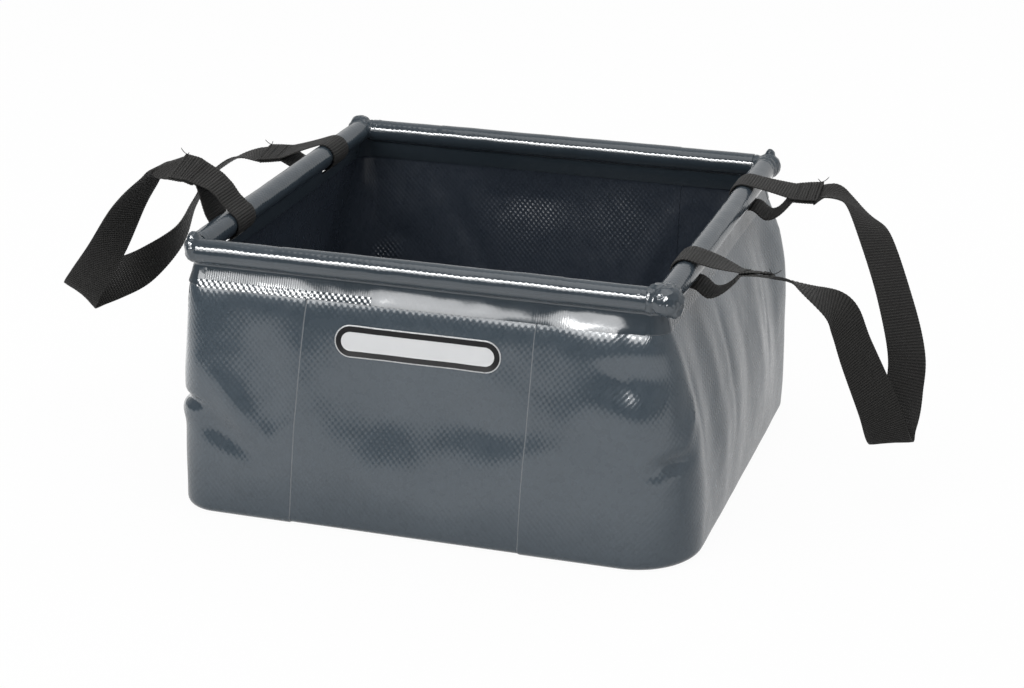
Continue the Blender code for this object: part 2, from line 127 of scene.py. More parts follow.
def arc(centre, radius, start, end, steps):
    turns = [start + (end - start) * step / steps for step in range(steps + 1)]
    return [(centre[0] + radius * cos(a), centre[1] + radius * sin(a)) for a in turns]


def pill(length, height, steps, runs):
    """Points round a pill outline, as (across, up), anticlockwise. Each straight has runs."""
    radius = height / 2
    straight = length / 2 - radius
    points = []
    for side in (1, -1):
        facing = pi / 2 * (1 - side)
        start, end = facing - pi / 2, facing + pi / 2
        points += arc((side * straight, 0), radius, start, end, steps)
        for step in range(1, runs):
            points.append((side * (straight - 2 * straight * step / runs), side * radius))
    return points


def lengths_round(points):
    """The length from the start of a closed line to each of its points, and once round."""
    lengths = [0.0]
    for point, after in zip(points, points[1:] + points[:1]):
        lengths.append(lengths[-1] + (after - point).length)
    return lengths


def add_object(name, data):
    piece = bpy.data.objects.new(name, data)
    bpy.context.scene.collection.objects.link(piece)
    return piece


def add_shape(name, shape, materials=()):
    """A piece made of a bmesh, which is freed."""
    mesh = bpy.data.meshes.new(name)
    shape.to_mesh(mesh)
    shape.free()
    for material in materials:
        mesh.materials.append(material)
    return add_object(name, mesh)


def opened(mesh):
    """The mesh as a bmesh, for put_back."""
    shape = bmesh.new()
    shape.from_mesh(mesh)
    return shape


def put_back(shape, mesh):
    shape.to_mesh(mesh)
    shape.free()


def join_rings(shape, rings):
    """Quads between closed rings of vertices. Gives the faces from each ring to the next."""
    bands = []
    for first, second in zip(rings, rings[1:]):
        band = []
        for index in range(len(first)):
            after = (index + 1) % len(first)
            corners = (first[index], first[after], second[after], second[index])
            band.append(shape.faces.new(corners))
        bands.append(band)
    return bands


def grid_mesh(name, rows, across, along, capped=True):
    """Quads between closed rows of points. The UV map holds across and along, in metres."""
    count = len(rows[0])
    faces = []
    corners = []
    for row, (low, high) in enumerate(zip(along, along[1:])):
        here, there = row * count, (row + 1) * count
        for index in range(count):
            after = (index + 1) % count
            faces.append((here + index, here + after, there + after, there + index))
            left, right = across[index], across[index + 1]
            corners += [(left, low), (right, low), (right, high), (left, high)]
    if capped:
        top = (len(rows) - 1) * count
        faces.append(tuple(reversed(range(count))))
        faces.append(tuple(range(top, top + count)))
        corners += [(across[index], along[0]) for index in reversed(range(count))]
        corners += [(across[index], along[-1]) for index in range(count)]
    mesh = bpy.data.meshes.new(name)
    mesh.from_pydata([tuple(point) for row in rows for point in row], [], faces)
    layer = mesh.uv_layers.new(name="UVMap")
    for loop, corner in zip(layer.data, corners):
        loop.uv = corner
    mesh.update()
    mesh.shade_smooth()
    return mesh


def outwards(mesh):
    """Turns the faces of a closed mesh outwards."""
    shape = opened(mesh)
    bmesh.ops.recalc_face_normals(shape, faces=shape.faces)
    put_back(shape, mesh)


def bake_modifiers(piece):
    """Replaces the piece's mesh by what its modifiers make of it."""
    graph = bpy.context.evaluated_depsgraph_get()
    graph.update()
    mesh = bpy.data.meshes.new_from_object(
        piece.evaluated_get(graph), preserve_all_data_layers=True, depsgraph=graph
    )
    piece.modifiers.clear()
    piece.data = mesh


# Materials

# Noises: scale and detail
cloth_unevenness = (90.0, 2.0)
cloth_grain = (900.0, 4.0)
cloth_clouds = (14.0, 5.0)
cloth_scuffs = (160.0, 6.0)
strap_fibres = (2500.0, 4.0)
strap_wear = (60.0, 5.0)
plain_detail = 5.0

grain_share = 0.35
dotted_gain = 4.6
pressed_loss = 0.85
full_gain_share = 0.35
thread_depth = 0.00018
strap_dark = (0.0016, 0.0016, 0.0015)
strap_pale = (0.0210, 0.0200, 0.0185)
plain_depth = 0.00003


def put(tree, node, inputs):
    """Sets the node's inputs to numbers and colours, or links them to what nodes give."""
    for key, value in inputs.items():
        if isinstance(value, Value):
            value = value.socket
        if isinstance(value, bpy.types.NodeSocket):
            tree.links.new(value, node.inputs[key])
        else:
            node.inputs[key].default_value = value


def add_node(tree, kind, inputs=None, **settings):
    node = tree.nodes.new(kind)
    for key, value in settings.items():
        setattr(node, key, value)
    put(tree, node, inputs or {})
    return node


class Value:
    """A number that nodes give. Arithmetic on it adds the nodes that work it out."""

    def __init__(self, tree, socket):
        self.tree = tree
        self.socket = socket

    def do(self, operation, other=0.0):
        node = add_node(self.tree, "ShaderNodeMath", {0: self, 1: other}, operation=operation)
        return Value(self.tree, node.outputs[0])

    def __add__(self, other):
        return self.do("ADD", other)

    def __sub__(self, other):
        return self.do("SUBTRACT", other)

    def __mul__(self, other):
        return self.do("MULTIPLY", other)

    def rest(self):
        """What is missing to 1."""
        node = add_node(self.tree, "ShaderNodeMath", {0: 1.0, 1: self}, operation="SUBTRACT")
        return Value(self.tree, node.outputs[0])

    def wave(self, pitch):
        """A sine that changes sign once in every pitch."""
        return (self * (pi / pitch)).do("SINE")

    def ranged(self, low, high, start=0.0, end=1.0, **settings):
        """From start to end, as the value goes from low to high."""
        node = add_node(self.tree, "ShaderNodeMapRange", {
            "Value": self, "From Min": low, "From Max": high, "To Min": start, "To Max": end,
        }, **settings)
        return Value(self.tree, node.outputs["Result"])


def coordinates(tree):
    return add_node(tree, "ShaderNodeTexCoord").outputs


def split(tree, vector):
    node = add_node(tree, "ShaderNodeSeparateXYZ", {0: vector})
    return [Value(tree, socket) for socket in node.outputs]


def noise_value(tree, where, scale, detail):
    inputs = {"Vector": where, "Scale": scale, "Detail": detail}
    return Value(tree, add_node(tree, "ShaderNodeTexNoise", inputs).outputs["Fac"])


def tint(tree, tone, dark, pale, low=0.0, high=1.0):
    """A colour between two, by how far the tone is from low to high."""
    node = add_node(tree, "ShaderNodeValToRGB", {"Fac": tone})
    ends = node.color_ramp.elements
    ends[0].position, ends[1].position = low, high
    ends[0].color, ends[1].color = (*dark, 1.0), (*pale, 1.0)
    return node.outputs["Color"]


def bump(tree, height, depth):
    inputs = {"Strength": 1.0, "Distance": depth, "Height": height}
    return add_node(tree, "ShaderNodeBump", inputs).outputs["Normal"]


def new_material(name):
    material = bpy.data.materials.new(name)
    material.use_nodes = True
    tree = material.node_tree
    return material, tree, tree.nodes["Principled BSDF"]


def coated_material(
    name, colour, deep_colour, roughness, weave_depth, from_uv=True, banded=False, raised_spots=()
):
    """Coated fabric. The weave is pressed into it as a chequer of raised crossings, which
    stand out more in the raised spots: each one's centre, reach and gain."""
    material, tree, shader = new_material(name)
    place = coordinates(tree)
    where = place["Object"]
    if from_uv:
        across, up, _ = split(tree, place["UV"])
    else:
        right, back, up = split(tree, where)
        across = right + back
    chequer = across.wave(weave_pitch_across) * up.wave(weave_pitch_up)
    height = chequer * (noise_value(tree, where, *cloth_unevenness) + 0.5)
    height += noise_value(tree, where, *cloth_grain) * grain_share
    for centre, reach, gain in raised_spots:
        away = add_node(tree, "ShaderNodeVectorMath", {0: where, 1: centre}, operation="DISTANCE")
        distance = Value(tree, away.outputs["Value"])
        height *= distance.ranged(reach, reach * full_gain_share, 1.0, gain)
    if banded:
        whole_band = up.do("LESS_THAN", band_run + flap_overlap)
        above_dots = up.do("GREATER_THAN", dotted_height)
        on_band = whole_band * above_dots.do("MAXIMUM", across.do("GREATER_THAN", dotted_end))
        dotted = whole_band - on_band
        height = height * (dotted * dotted_gain + 1.0) * (on_band * pressed_loss).rest()
        for start, end, depth in band_ribs:
            ribbed = across.do("GREATER_THAN", start) * across.do("LESS_THAN", end) * on_band
            height += across.wave(rib_run / 2) * depth * ribbed
    clouds = noise_value(tree, where, *cloth_clouds)
    scuffs = noise_value(tree, where, *cloth_scuffs)
    put(tree, shader, {
        "Base Color": tint(tree, clouds * 0.7 + scuffs * 0.3, deep_colour, colour, 0.35, 0.65),
        "Roughness": scuffs.ranged(0.3, 0.7, roughness * 0.85, roughness * 1.2),
        "Normal": bump(tree, height, weave_depth),
        "Coat Normal": bump(tree, height, weave_depth * 0.7),
        "IOR": 1.5,
        "Specular IOR Level": 0.12,
        "Coat Weight": 0.9,
        "Coat Roughness": roughness * 0.55,
        "Coat IOR": 1.5,
    })
    return material


def webbing_material():
    """Ribbed webbing: each rib shows its row of warp threads, and the colour is darker in their
    grooves as painted shade.
    """
    material, tree, shader = new_material("webbing_ribbed")
    place = coordinates(tree)
    across, along, _ = split(tree, place["UV"])
    row = along.do("DIVIDE", rib_pitch).do("FLOOR")
    threads = (across + row * (warp_pitch * 0.5)).wave(warp_pitch).do("ABSOLUTE")
    ribs = along.wave(rib_pitch).do("ABSOLUTE")
    fibres = noise_value(tree, place["Object"], *strap_fibres)
    worn = noise_value(tree, place["Object"], *strap_wear)
    # Tone: painted shade in the grooves between ribs and between threads, plus random wear
    tone = threads * 0.15 + worn * 0.15 + ribs * 0.7
    put(tree, shader, {
        "Base Color": tint(tree, tone, strap_dark, strap_pale, 0.3, 0.85),
        "Normal": bump(tree, threads + fibres * 0.6, thread_depth),
        "Roughness": 0.6,
        "Specular IOR Level": 0.2,
        "Sheen Weight": 0.08,
        "Sheen Roughness": 0.4,
    })
    return material


def plain_material(name, colour, spread, roughness, metallic=0.0, scale=120.0, gloss_level=0.5):
    """A plain surface with a little grain in its tone and its gloss."""
    material, tree, shader = new_material(name)
    grain = noise_value(tree, coordinates(tree)["Object"], scale, plain_detail)
    dark = [channel * (1 - spread) for channel in colour]
    pale = [min(channel * (1 + spread), 1.0) for channel in colour]
    put(tree, shader, {
        "Base Color": tint(tree, grain, dark, pale),
        "Roughness": grain.ranged(0.0, 1.0, roughness * 0.8, roughness * 1.2),
        "Normal": bump(tree, grain, plain_depth),
        "Metallic": metallic,
        "Specular IOR Level": gloss_level,
    })
    return material


# Bowl

# Wall, share along it, height, depth inwards, reach along, reach up
hollows = (
    ("left", 0.990, 0.0690, 0.0045, 0.012, 0.0030),
    ("front", -0.010, 0.0690, 0.0045, 0.012, 0.0030),
    ("left", 0.995, 0.0600, -0.0016, 0.010, 0.0055),
    ("front", 0.000, 0.0600, -0.0016, 0.010, 0.0055),
    ("front", 0.955, 0.1130, 0.0034, 0.019, 0.0130),
    ("front", 0.440, 0.0760, 0.0026, 0.042, 0.0230),
    ("front", 0.640, 0.0760, 0.0026, 0.026, 0.0150),
    ("front", 0.800, 0.0620, -0.0012, 0.022, 0.0120),
    ("front", 1.030, 0.0640, 0.0034, 0.007, 0.0050),
    ("right", 0.000, 0.0640, 0.0034, 0.007, 0.0050),
    ("right", 0.160, 0.0860, 0.0017, 0.015, 0.0600),
    ("right", 0.500, 0.0700, 0.0014, 0.018, 0.0600),
    ("right", 0.800, 0.0760, 0.0016, 0.016, 0.0600),
    ("right", 0.985, 0.1020, -0.0048, 0.034, 0.0500),
    ("right", 1.020, 0.0080, -0.0030, 0.016, 0.0150),
    ("back", 0.400, 0.0620, 0.0040, 0.038, 0.0400),
    ("back", 0.568, 0.1240, -0.0024, 0.034, 0.0200),
    ("back", 0.900, 0.0860, -0.0016, 0.010, 0.0090),
    ("left", 0.450, 0.0700, 0.0045, 0.038, 0.0400),
)

# Wall, start and end as share along it and height, depth inwards, width
creases = (
    ("front", (0.040, 0.0930), (0.175, 0.0470), -0.0018, 0.0080),
    ("front", (-0.010, 0.0660), (0.165, 0.0410), 0.0030, 0.0090),
    ("front", (0.160, 0.0430), (0.250, 0.0660), -0.0006, 0.0070),
    ("front", (1.030, 0.0680), (1.070, 0.0900), -0.0012, 0.0036),
    ("right", (0.010, 0.0680), (0.060, 0.0950), -0.0012, 0.0036),
    ("front", (0.985, 0.0600), (1.020, 0.0560), 0.0014, 0.0036),
    ("front", (0.890, 0.1190), (0.960, 0.1010), 0.0009, 0.0040),
    ("right", (0.060, 0.1330), (0.120, 0.0400), 0.0006, 0.0040),
    ("right", (0.220, 0.1320), (0.270, 0.0280), -0.0009, 0.0100),
    ("right", (0.340, 0.1320), (0.360, 0.0480), 0.0006, 0.0045),
    ("right", (0.620, 0.1290), (0.660, 0.0300), -0.0009, 0.0110),
    ("right", (0.740, 0.1320), (0.720, 0.0560), 0.0006, 0.0045),
    ("back", (0.200, 0.1260), (0.340, 0.0420), 0.0016, 0.0075),
    ("back", (0.780, 0.1200), (0.620, 0.0420), -0.0016, 0.0075),
    ("left", (0.140, 0.1290), (0.240, 0.0400), 0.0015, 0.0075),
    ("left", (0.700, 0.1260), (0.640, 0.0360), -0.0018, 0.0080),
)

# The front wall leans out down to this height, by share along it, and is nearly upright below
front_bends = (
    (-0.05, 0.085), (0.05, 0.093), (0.18, 0.044), (0.26, 0.074), (0.346, 0.056), (0.444, 0.028),
    (0.574, 0.018), (0.723, 0.047), (0.887, 0.099), (0.97, 0.091), (1.05, 0.081),
)
# Its slopes above and below that, and the height in which one turns into the other
steep = 0.19
gentle = 0.03
bend_blend = 0.0055

# How far each wall bulges in its middle
crowns = {"front": 0.0020, "right": 0.0040, "back": 0.0040, "left": 0.0040}

# How far each welded band leans out at its foot, by its share along the wall
lean_shares = {
    "front": (
        (0.0, 0.0048), (0.03, 0.0052), (0.22, 0.0054), (0.31, 0.0042), (0.38, 0.0040),
        (0.42, 0.0050), (0.60, 0.0047), (0.70, 0.0040), (0.76, 0.0038), (0.81, 0.0054),
        (0.90, 0.0050), (0.95, 0.0028), (1.0, 0.0026),
    ),
    "right": ((0.0, 0.0026), (0.3, 0.0032), (0.6, 0.0026), (1.0, 0.0030)),
    "back": ((0.0, 0.0030), (0.5, 0.0034), (1.0, 0.0030)),
    "left": ((0.0, 0.0026), (0.5, 0.0022), (0.92, 0.0020), (1.0, 0.0030)),
}

# How many widths away a crease ends, and the shares of its length between which it fades
crease_reach = 3.5
crease_ends = (0.04, 0.96)


def lean_at(side, along):
    return along_table(lean_shares[side], along)


def held_at(height):
    """0 where the wall is held, at its top and at the floor, and up to 1 between them."""
    return sin(pi * limited(1 - min(height, wall_top) / wall_top)) ** crown_power


def crease_at(side, along, height):
    depth = 0.0
    place = Vector((along * rim_span, height))
    for name, start, end, fold, width in creases:
        if name != side:
            continue
        first = Vector((start[0] * rim_span, start[1]))
        run = Vector((end[0] * rim_span, end[1])) - first
        share = (place - first).dot(run) / run.length_squared
        far = (place - first - run * limited(share)).length / width
        if far < crease_reach:
            faded = sin(pi * limited(share, *crease_ends)) ** 0.5
            depth += fold * exp(-far * far) * faded
    return depth


def hollow_at(side, along, height):
    depth = 0.0
    for name, along_share, middle, fold, reach, rise in hollows:
        if name == side:
            sideways = (along - along_share) * rim_span / reach
            upwards = (height - middle) / rise
            depth += fold * exp(-sideways * sideways - upwards * upwards)
    return depth


def softened(value):
    """0 for a low value and the value itself for a high one, with a rounded bend at 0."""
    return value if value > 30 else log1p(exp(value))


def run_out(along, height):
    """How far the front wall has come out between its top and this height."""
    bend = along_table(front_bends, along)
    kinked = softened((wall_top - bend) / bend_blend) - softened((height - bend) / bend_blend)
    return gentle * (wall_top - height) + (steep - gentle) * bend_blend * kinked


def relief_at(side, along, height):
    """How far this spot of a wall stands out from the plain flared wall."""
    held = held_at(height)
    out = crowns[side] * sin(pi * limited(along)) * held
    folds = hollow_at(side, along, height) + crease_at(side, along, height)
    out -= folds * min(1.0, held * fold_hold)
    if side == "front" and height < wall_top:
        spread = 1 - (height / wall_top) ** flare_power
        out += flares["front"] * (run_out(along, height) / run_out(along, 0.0) - spread)
    return out


ripple_depth = 0.0008
ripple_size = 0.030
wrinkle_depth = 0.00022
wrinkle_size = 0.011
ripple_stretch = 0.7
least_weight = 0.001


def ripple_at(place, height):
    """Shallow unevenness of the limp wall, in metres inwards."""
    spot = Vector((place.x, place.y, height * ripple_stretch))
    broad = noise.noise(spot / ripple_size + Vector((3.1, 0.0, 0.0)))
    fine = noise.noise(spot / wrinkle_size + Vector((0.0, 7.7, 0.0)))
    return broad * ripple_depth + fine * wrinkle_depth


def outline(height, inset):
    """The bowl's outline at one height: places with their outward directions."""
    spread = 1 - (min(height, wall_top) / wall_top) ** flare_power
    left = -(wall_face + flares["left"] * spread) + inset
    right = wall_face + flares["right"] * spread - inset
    front = -(wall_face + flares["front"] * spread) + inset
    back = wall_face + flares["back"] * spread - inset
    top_radius = corner_half_width + wall_face - rim_half
    radii = [top_radius + (base - top_radius) * spread - inset for base in base_radii]
    corners = (
        Vector((left + radii[0], front + radii[0])),
        Vector((right - radii[1], front + radii[1])),
        Vector((right - radii[2], back - radii[2])),
        Vector((left + radii[3], back - radii[3])),
    )
    spots = []
    for index in range(4):
        after = (index + 1) % 4
        facing = radians(90 * index - 90)
        outward = Vector((cos(facing), sin(facing)))
        start = corners[index] + outward * radii[index]
        end = corners[after] + outward * radii[after]
        for step in range(side_steps):
            spots.append((start.lerp(end, step / side_steps), outward))
        for step in range(corner_steps):
            turn = facing + pi / 2 * step / corner_steps
            outward = Vector((cos(turn), sin(turn)))
            spots.append((corners[after] + outward * radii[after], outward))
    return spots


def walls_near(place, outward):
    """The walls that this spot belongs to: name, share along it anticlockwise, weight."""
    return [
        (name, along / rim_span, weight * weight)
        for name, along, weight in (
            ("front", place.x + rim_half, -outward.y),
            ("right", place.y + rim_half, outward.x),
            ("back", rim_half - place.x, outward.y),
            ("left", rim_half - place.y, -outward.x),
        )
        if weight > least_weight
    ]


def wall_ring(height, inset, ease=1.0):
    """One ring of the bowl's surface, leaning out under the band, crowned, folded and rippled."""
    ring = []
    limp = min(1.0, held_at(height) * fold_hold)
    below = max(wall_top - height, 0.0)
    above = max(height - wall_top, 0.0)
    fading = exp(-below / lean_reach)
    rolled = (1 - exp(-below / roll_reach)) * fading
    for place, outward in outline(height, inset):
        out = -ripple_at(place, height) * limp
        for name, along, weight in walls_near(place, outward):
            foot = lean_at(name, along)
            lean = (foot - roll_drop) * fading - above * foot / band_run + roll_outs[name] * rolled
            out += weight * (relief_at(name, along, height) + lean)
        ring.append(place + outward * out * ease)
    return ring


def bowl_surface(inset, top):
    """The open surface of the whole bowl from this height down, with its floor."""
    rings = []
    levels = []
    for row in range(wall_rows + 1):
        height = top + (floor_edge_radius - top) * row / wall_rows
        rings.append([(*spot, height) for spot in wall_ring(height, inset)])
        levels.append(-height)
    bend = floor_edge_radius - inset
    for step in range(1, edge_rows + 1):
        turn = pi / 2 * step / edge_rows
        drawn_in = floor_edge_radius - bend * cos(turn)
        height = floor_edge_radius - bend * sin(turn)
        base = wall_ring(floor_edge_radius, drawn_in, 1 - step / edge_rows)
        rings.append([(*spot, height) for spot in base])
        levels.append(levels[-1] + bend * pi / 2 / edge_rows)
    floor = [Vector(point) for point in rings[-1]]
    count = len(floor)
    centre = sum(floor, Vector((0, 0, 0))) / count
    for step in range(1, floor_rings):
        share = 1 - step / floor_rings
        rings.append([centre.lerp(point, share) for point in floor])
        levels.append(levels[-1] + rim_half / floor_rings)
    middle = [Vector((*spot, 0)) for spot in wall_ring(wall_top / 2, 0.0)]
    mesh = grid_mesh("bowl", rings, lengths_round(middle), levels, capped=False)
    shape = opened(mesh)
    bpy.data.meshes.remove(mesh)
    shape.verts.ensure_lookup_table()
    shape.faces.new(shape.verts[-count:])
    layer = shape.loops.layers.uv.active
    for face in shape.faces:
        if max(vert.co.z for vert in face.verts) < inset + floor_margin:
            for loop in face.loops:
                loop[layer].uv = (loop.vert.co.x, loop.vert.co.y)
    return shape


def cut_across(shape, top, foot, drop_beyond=0):
    """Cuts the bowl by a plane that meets the wall's top and the floor at these places."""
    bmesh.ops.bisect_plane(
        shape,
        geom=shape.verts[:] + shape.edges[:] + shape.faces[:],
        plane_co=(foot, 0, 0),
        plane_no=Vector((wall_top, 0, foot - top)).normalized(),
        clear_outer=drop_beyond > 0,
        clear_inner=drop_beyond < 0,
    )


def face_outwards(shape):
    """Turns the open bowl's faces so that they look away from its inside."""
    bmesh.ops.recalc_face_normals(shape, faces=shape.faces)
    shape.faces.ensure_lookup_table()
    lowest = min(shape.faces, key=lambda face: face.calc_center_median().z)
    lowest.normal_update()
    if lowest.normal.z > 0:
        bmesh.ops.reverse_faces(shape, faces=shape.faces)


def thicken(piece, thickness):
    """Gives a sheet its thickness, inwards. Returns the modifier."""
    solid = piece.modifiers.new("Thickness", "SOLIDIFY")
    solid.thickness = thickness
    solid.offset = -1.0
    return solid


def add_sheet(name, shape, materials):
    """One sheet of the bowl: its outside, its darker inside (painted shade) and perhaps its seam
    bead (partly a painted highlight).
    """
    face_outwards(shape)
    for face in shape.faces:
        face.smooth = True
    for edge in shape.edges:
        edge.smooth = not edge.is_boundary
    piece = add_shape(name, shape, materials)
    solid = thicken(piece, cloth_thickness)
    solid.material_offset = 1
    solid.use_quality_normals = True
    return piece


def sink_seam(shape, top, foot, side, bead):
    """Beds a side sheet's lapped edge in the centre sheet and marks its bead: a pale strip that is
    partly the weld's own lighter colour and partly a painted highlight on the edge.
    """
    slope = (top - foot) / wall_top
    for vert in shape.verts:
        beyond = (vert.co.x - foot - slope * vert.co.z) * side
        if beyond < 2 * seam_bead:
            out = Vector((0, 0, -1))
            if vert.co.z > floor_edge_radius:
                out = Vector((0, 1 if vert.co.y > 0 else -1, 0))
            vert.co -= out * seam_sink * (1 - beyond / (2 * seam_bead))
    for face in shape.faces:
        centre = face.calc_center_median()
        if (centre.x - foot - slope * centre.z) * side < seam_bead:
            face.material_index = bead


# Hems

layer_offset = 0.00078
neck_height = -0.0086
band_run = 0.01035
band_foot = neck_height - band_run
hem_middle_radius = sleeve_radius - cloth_thickness / 2
neck_angle = radians(14)
neck_bulge = 0.0003
flap_overlap = 0.0006
lean_power = 1.25
end_thickness_share = 0.55
flap_steps = 8
neck_steps = 4
tube_steps = 44
tube_start = flap_steps + neck_steps
hem_spacing = 0.0012
lap_rise = 0.00025
sharp_hem_edge = radians(50)
slot_cut_depth = 0.012
slot_end_steps = 12
# Unevenness of a hem: size and depth
hem_noises = ((0.011, 0.00012), (0.030, 0.00018))
hem_starts = {"front": -0.1345, "right": -0.1315, "back": -0.1315, "left": -0.1315}
hem_end = 0.1315

# Steps of the welded band on the front, by place along the rod: how far it stands out
band_steps = ((-0.028, 0.00035), (0.067, 0.0), (0.088, 0.00018), (1.0, 0.00030))
# Ribs pressed into it: start, end, depth
band_ribs = ((-0.131, -0.069, 2.1), (-0.069, -0.028, 0.86), (0.067, 0.088, 1.0))
rib_run = 0.0014
# Up to this place along the front band, the weave still shows up to this height
dotted_end = -0.028
dotted_height = 0.0046


def neck_points(start, end, bulge):
    """The slightly bulged fabric between the welded band and the tube, without its ends."""
    points = []
    for step in range(1, neck_steps):
        share = step / neck_steps
        out = Vector((bulge * sin(pi * share), 0.0))
        points.append(tuple(start.lerp(end, share) + out))
    return points


def hem_line(lean, push):
    """The middle of the turned-over fabric, from the foot of its flap over the rod to the foot
    of its inner layer: distances outwards and upwards from the rod's axis."""
    shares = [step / flap_steps for step in range(flap_steps + 1)]
    points = []
    for share in shares:
        out = layer_offset + push + lean * (1 - share) ** lean_power
        points.append((out, band_foot + band_run * share - flap_overlap * (1 - share)))
    start = -pi / 2 + neck_angle
    end = -pi / 2 - neck_angle + 2 * pi
    tube = arc((0, 0), hem_middle_radius, start, end, tube_steps)
    first = Vector(tube[0])
    points += neck_points(Vector(points[-1]), first, -neck_bulge) + tube
    mirrored = Vector((-first.x, first.y))
    points += neck_points(mirrored, Vector((-layer_offset, neck_height)), neck_bulge)
    for share in shares:
        points.append((-layer_offset + lean * share ** lean_power, neck_height - band_run * share))
    return points


def thick_outline(points, thickness, swell):
    """A closed outline round a bent line, with a rounded look at its ends."""
    outer = []
    inner = []
    last = len(points) - 1
    for index, point in enumerate(points):
        ahead = Vector(points[min(index + 1, last)]) - Vector(points[max(index - 1, 0)])
        ahead.normalize()
        normal = Vector((ahead.y, -ahead.x))
        half = thickness / 2 * (end_thickness_share if index in (0, last) else 1.0)
        outer.append(Vector(point) + normal * (half + swell[index]))
        inner.append(Vector(point) - normal * half)
    return outer + inner[::-1]


def hem_matrix(side):
    """Takes (outwards, along, upwards) from the rod's middle to the row's frame."""
    facing = {"front": -90, "right": 0, "back": 90, "left": 180}[side]
    turned = Matrix.Rotation(radians(facing), 4, "Z")
    return Matrix.Translation((0, 0, rim_height)) @ turned


def hem_row(side, place):
    """The hem's outline at this place along it."""
    push = 0.0
    if side == "front":
        push = next(value for edge, value in band_steps if place < edge)
    points = hem_line(lean_at(side, 0.5 + place / rim_span), push)
    lapped = side in ("front", "back") and abs(place) < lap_edge_offset
    swell = []
    for index, (out, up) in enumerate(points):
        spot = Vector((place, out * 2, up * 2))
        uneven = sum(noise.noise(spot / size) * depth for size, depth in hem_noises)
        if lapped and tube_start <= index < tube_start + tube_steps:
            uneven += lap_rise
        swell.append(uneven)
    return thick_outline(points, cloth_thickness, swell)


def add_hem(side, material):
    """One side of the rim. Along runs anticlockwise seen from above."""
    name = side + "_hem_fabric"
    placing = hem_matrix(side)
    start = hem_starts[side]
    length = hem_end - start
    count = round(length / hem_spacing)
    along = [start + length * step / count for step in range(count + 1)]
    rows = []
    for place in along:
        row = hem_row(side, place)
        rows.append([placing @ Vector((rim_half + out, place, up)) for out, up in row])
    mesh = grid_mesh(name, rows, lengths_round(rows[0]), along)
    for loop in mesh.uv_layers[0].data:
        loop.uv = (loop.uv[1], loop.uv[0])
    outwards(mesh)
    piece = add_object(name, mesh)
    mesh.materials.append(material)
    if side in ("left", "right"):
        across = rim_half if side == "right" else -rim_half
        for where in (-loop_offset, loop_offset):
            cutter = slot_cutter((across, where, slot_middle))
            cut = piece.modifiers.new("Slot", "BOOLEAN")
            cut.operation = "DIFFERENCE"
            cut.solver = "EXACT"
            cut.object = cutter
            bake_modifiers(piece)
            bpy.data.objects.remove(cutter, do_unlink=True)
    piece.data.set_sharp_from_angle(angle=sharp_hem_edge)
    return piece


def slot_cutter(place):
    """A long hole with round ends, through both layers of a side band."""
    points = pill(slot_length, slot_height, slot_end_steps, 1)
    x, y, z = place
    rows = []
    for side in (-1, 1):
        face = x + side * slot_cut_depth / 2
        rows.append([Vector((face, y + across, z + up)) for across, up in points])
    mesh = grid_mesh("slot", rows, [0.0] * (len(points) + 1), [0.0, 0.0])
    outwards(mesh)
    return add_object("slot", mesh)


# Corners

corner_voxel = 0.0005
soften_rounds = 6
pucker_size = 0.0042
pucker_depth = 0.00055
pucker_rise = (-0.0085, -0.0045)
plug = 0.0070
skirt_stand = 0.0003
skirt_run = 0.0025
skirt_top = -0.005
skirt_bend = 0.42
skirt_steps = 18

# Balls over the rods' ends
ball_on_x = (-0.0120, 0.0, 0.0, 0.0060, plug, plug)
ball_on_y = (0.0, -0.0125, 0.0, plug, 0.0060, plug)
neck_on_x = (-0.0070, 0.0, 0.0, 0.0060, 0.0068, 0.0068)
# Corner, its sides on x and y, its two hems, its puckers and its balls. Each ball is its place
# outwards from the rods' crossing, then its half sizes
corner_kinds = (
    ("front_left_corner", -1, -1, ("left", "front"), 0.8, (
        (-0.0022, 0.0002, 0.0014, 0.0050, 0.0074, 0.0084),
        (-0.0018, -0.0002, 0.0066, 0.0034, 0.0050, 0.0046),
        (-0.0044, 0.0, -0.0002, 0.0050, 0.0070, 0.0069),
        (-0.0062, 0.0, 0.0, 0.0044, 0.0060, 0.0062),
        (-0.0110, 0.0, 0.0, 0.0060, plug, plug),
        (0.0, -0.0070, 0.0, 0.0068, 0.0060, 0.0070),
        ball_on_y,
    )),
    ("front_right_corner", 1, -1, ("front", "right"), 0.9, (
        (0.0022, 0.0004, 0.0002, 0.0094, 0.0088, 0.0088),
        (-0.0070, 0.0, 0.0, 0.0050, 0.0074, 0.0076),
        (-0.0030, -0.0016, 0.0052, 0.0062, 0.0050, 0.0042),
        (0.0070, 0.0010, -0.0040, 0.0042, 0.0050, 0.0048),
        ball_on_x,
        (0.0010, -0.0060, 0.0010, 0.0074, 0.0070, 0.0074),
        ball_on_y,
    )),
    ("back_right_corner", 1, 1, ("right", "back"), 0.5, (
        (0.0, -0.0110, 0.0, 0.0073, 0.0070, 0.0073),
        (0.0004, -0.0055, 0.0002, 0.0076, 0.0070, 0.0076),
        (0.0012, -0.0005, 0.0002, 0.0082, 0.0084, 0.0082),
        (0.0018, 0.0020, 0.0060, 0.0034, 0.0036, 0.0052),
        neck_on_x,
        ball_on_x,
    )),
    ("back_left_corner", -1, 1, ("back", "left"), 1.0, (
        (0.0012, 0.0, 0.0, 0.0084, 0.0084, 0.0080),
        (0.0016, 0.0008, 0.0058, 0.0058, 0.0052, 0.0030),
        neck_on_x,
        ball_on_x,
        (0.0, -0.0075, 0.0, 0.0072, 0.0060, 0.0072),
        ball_on_y,
    )),
)


def add_ball(shape, centre, sizes):
    made = bmesh.ops.create_icosphere(shape, subdivisions=4, radius=1.0)["verts"]
    for vert in made:
        vert.co = Vector([part * size for part, size in zip(vert.co, sizes)]) + centre


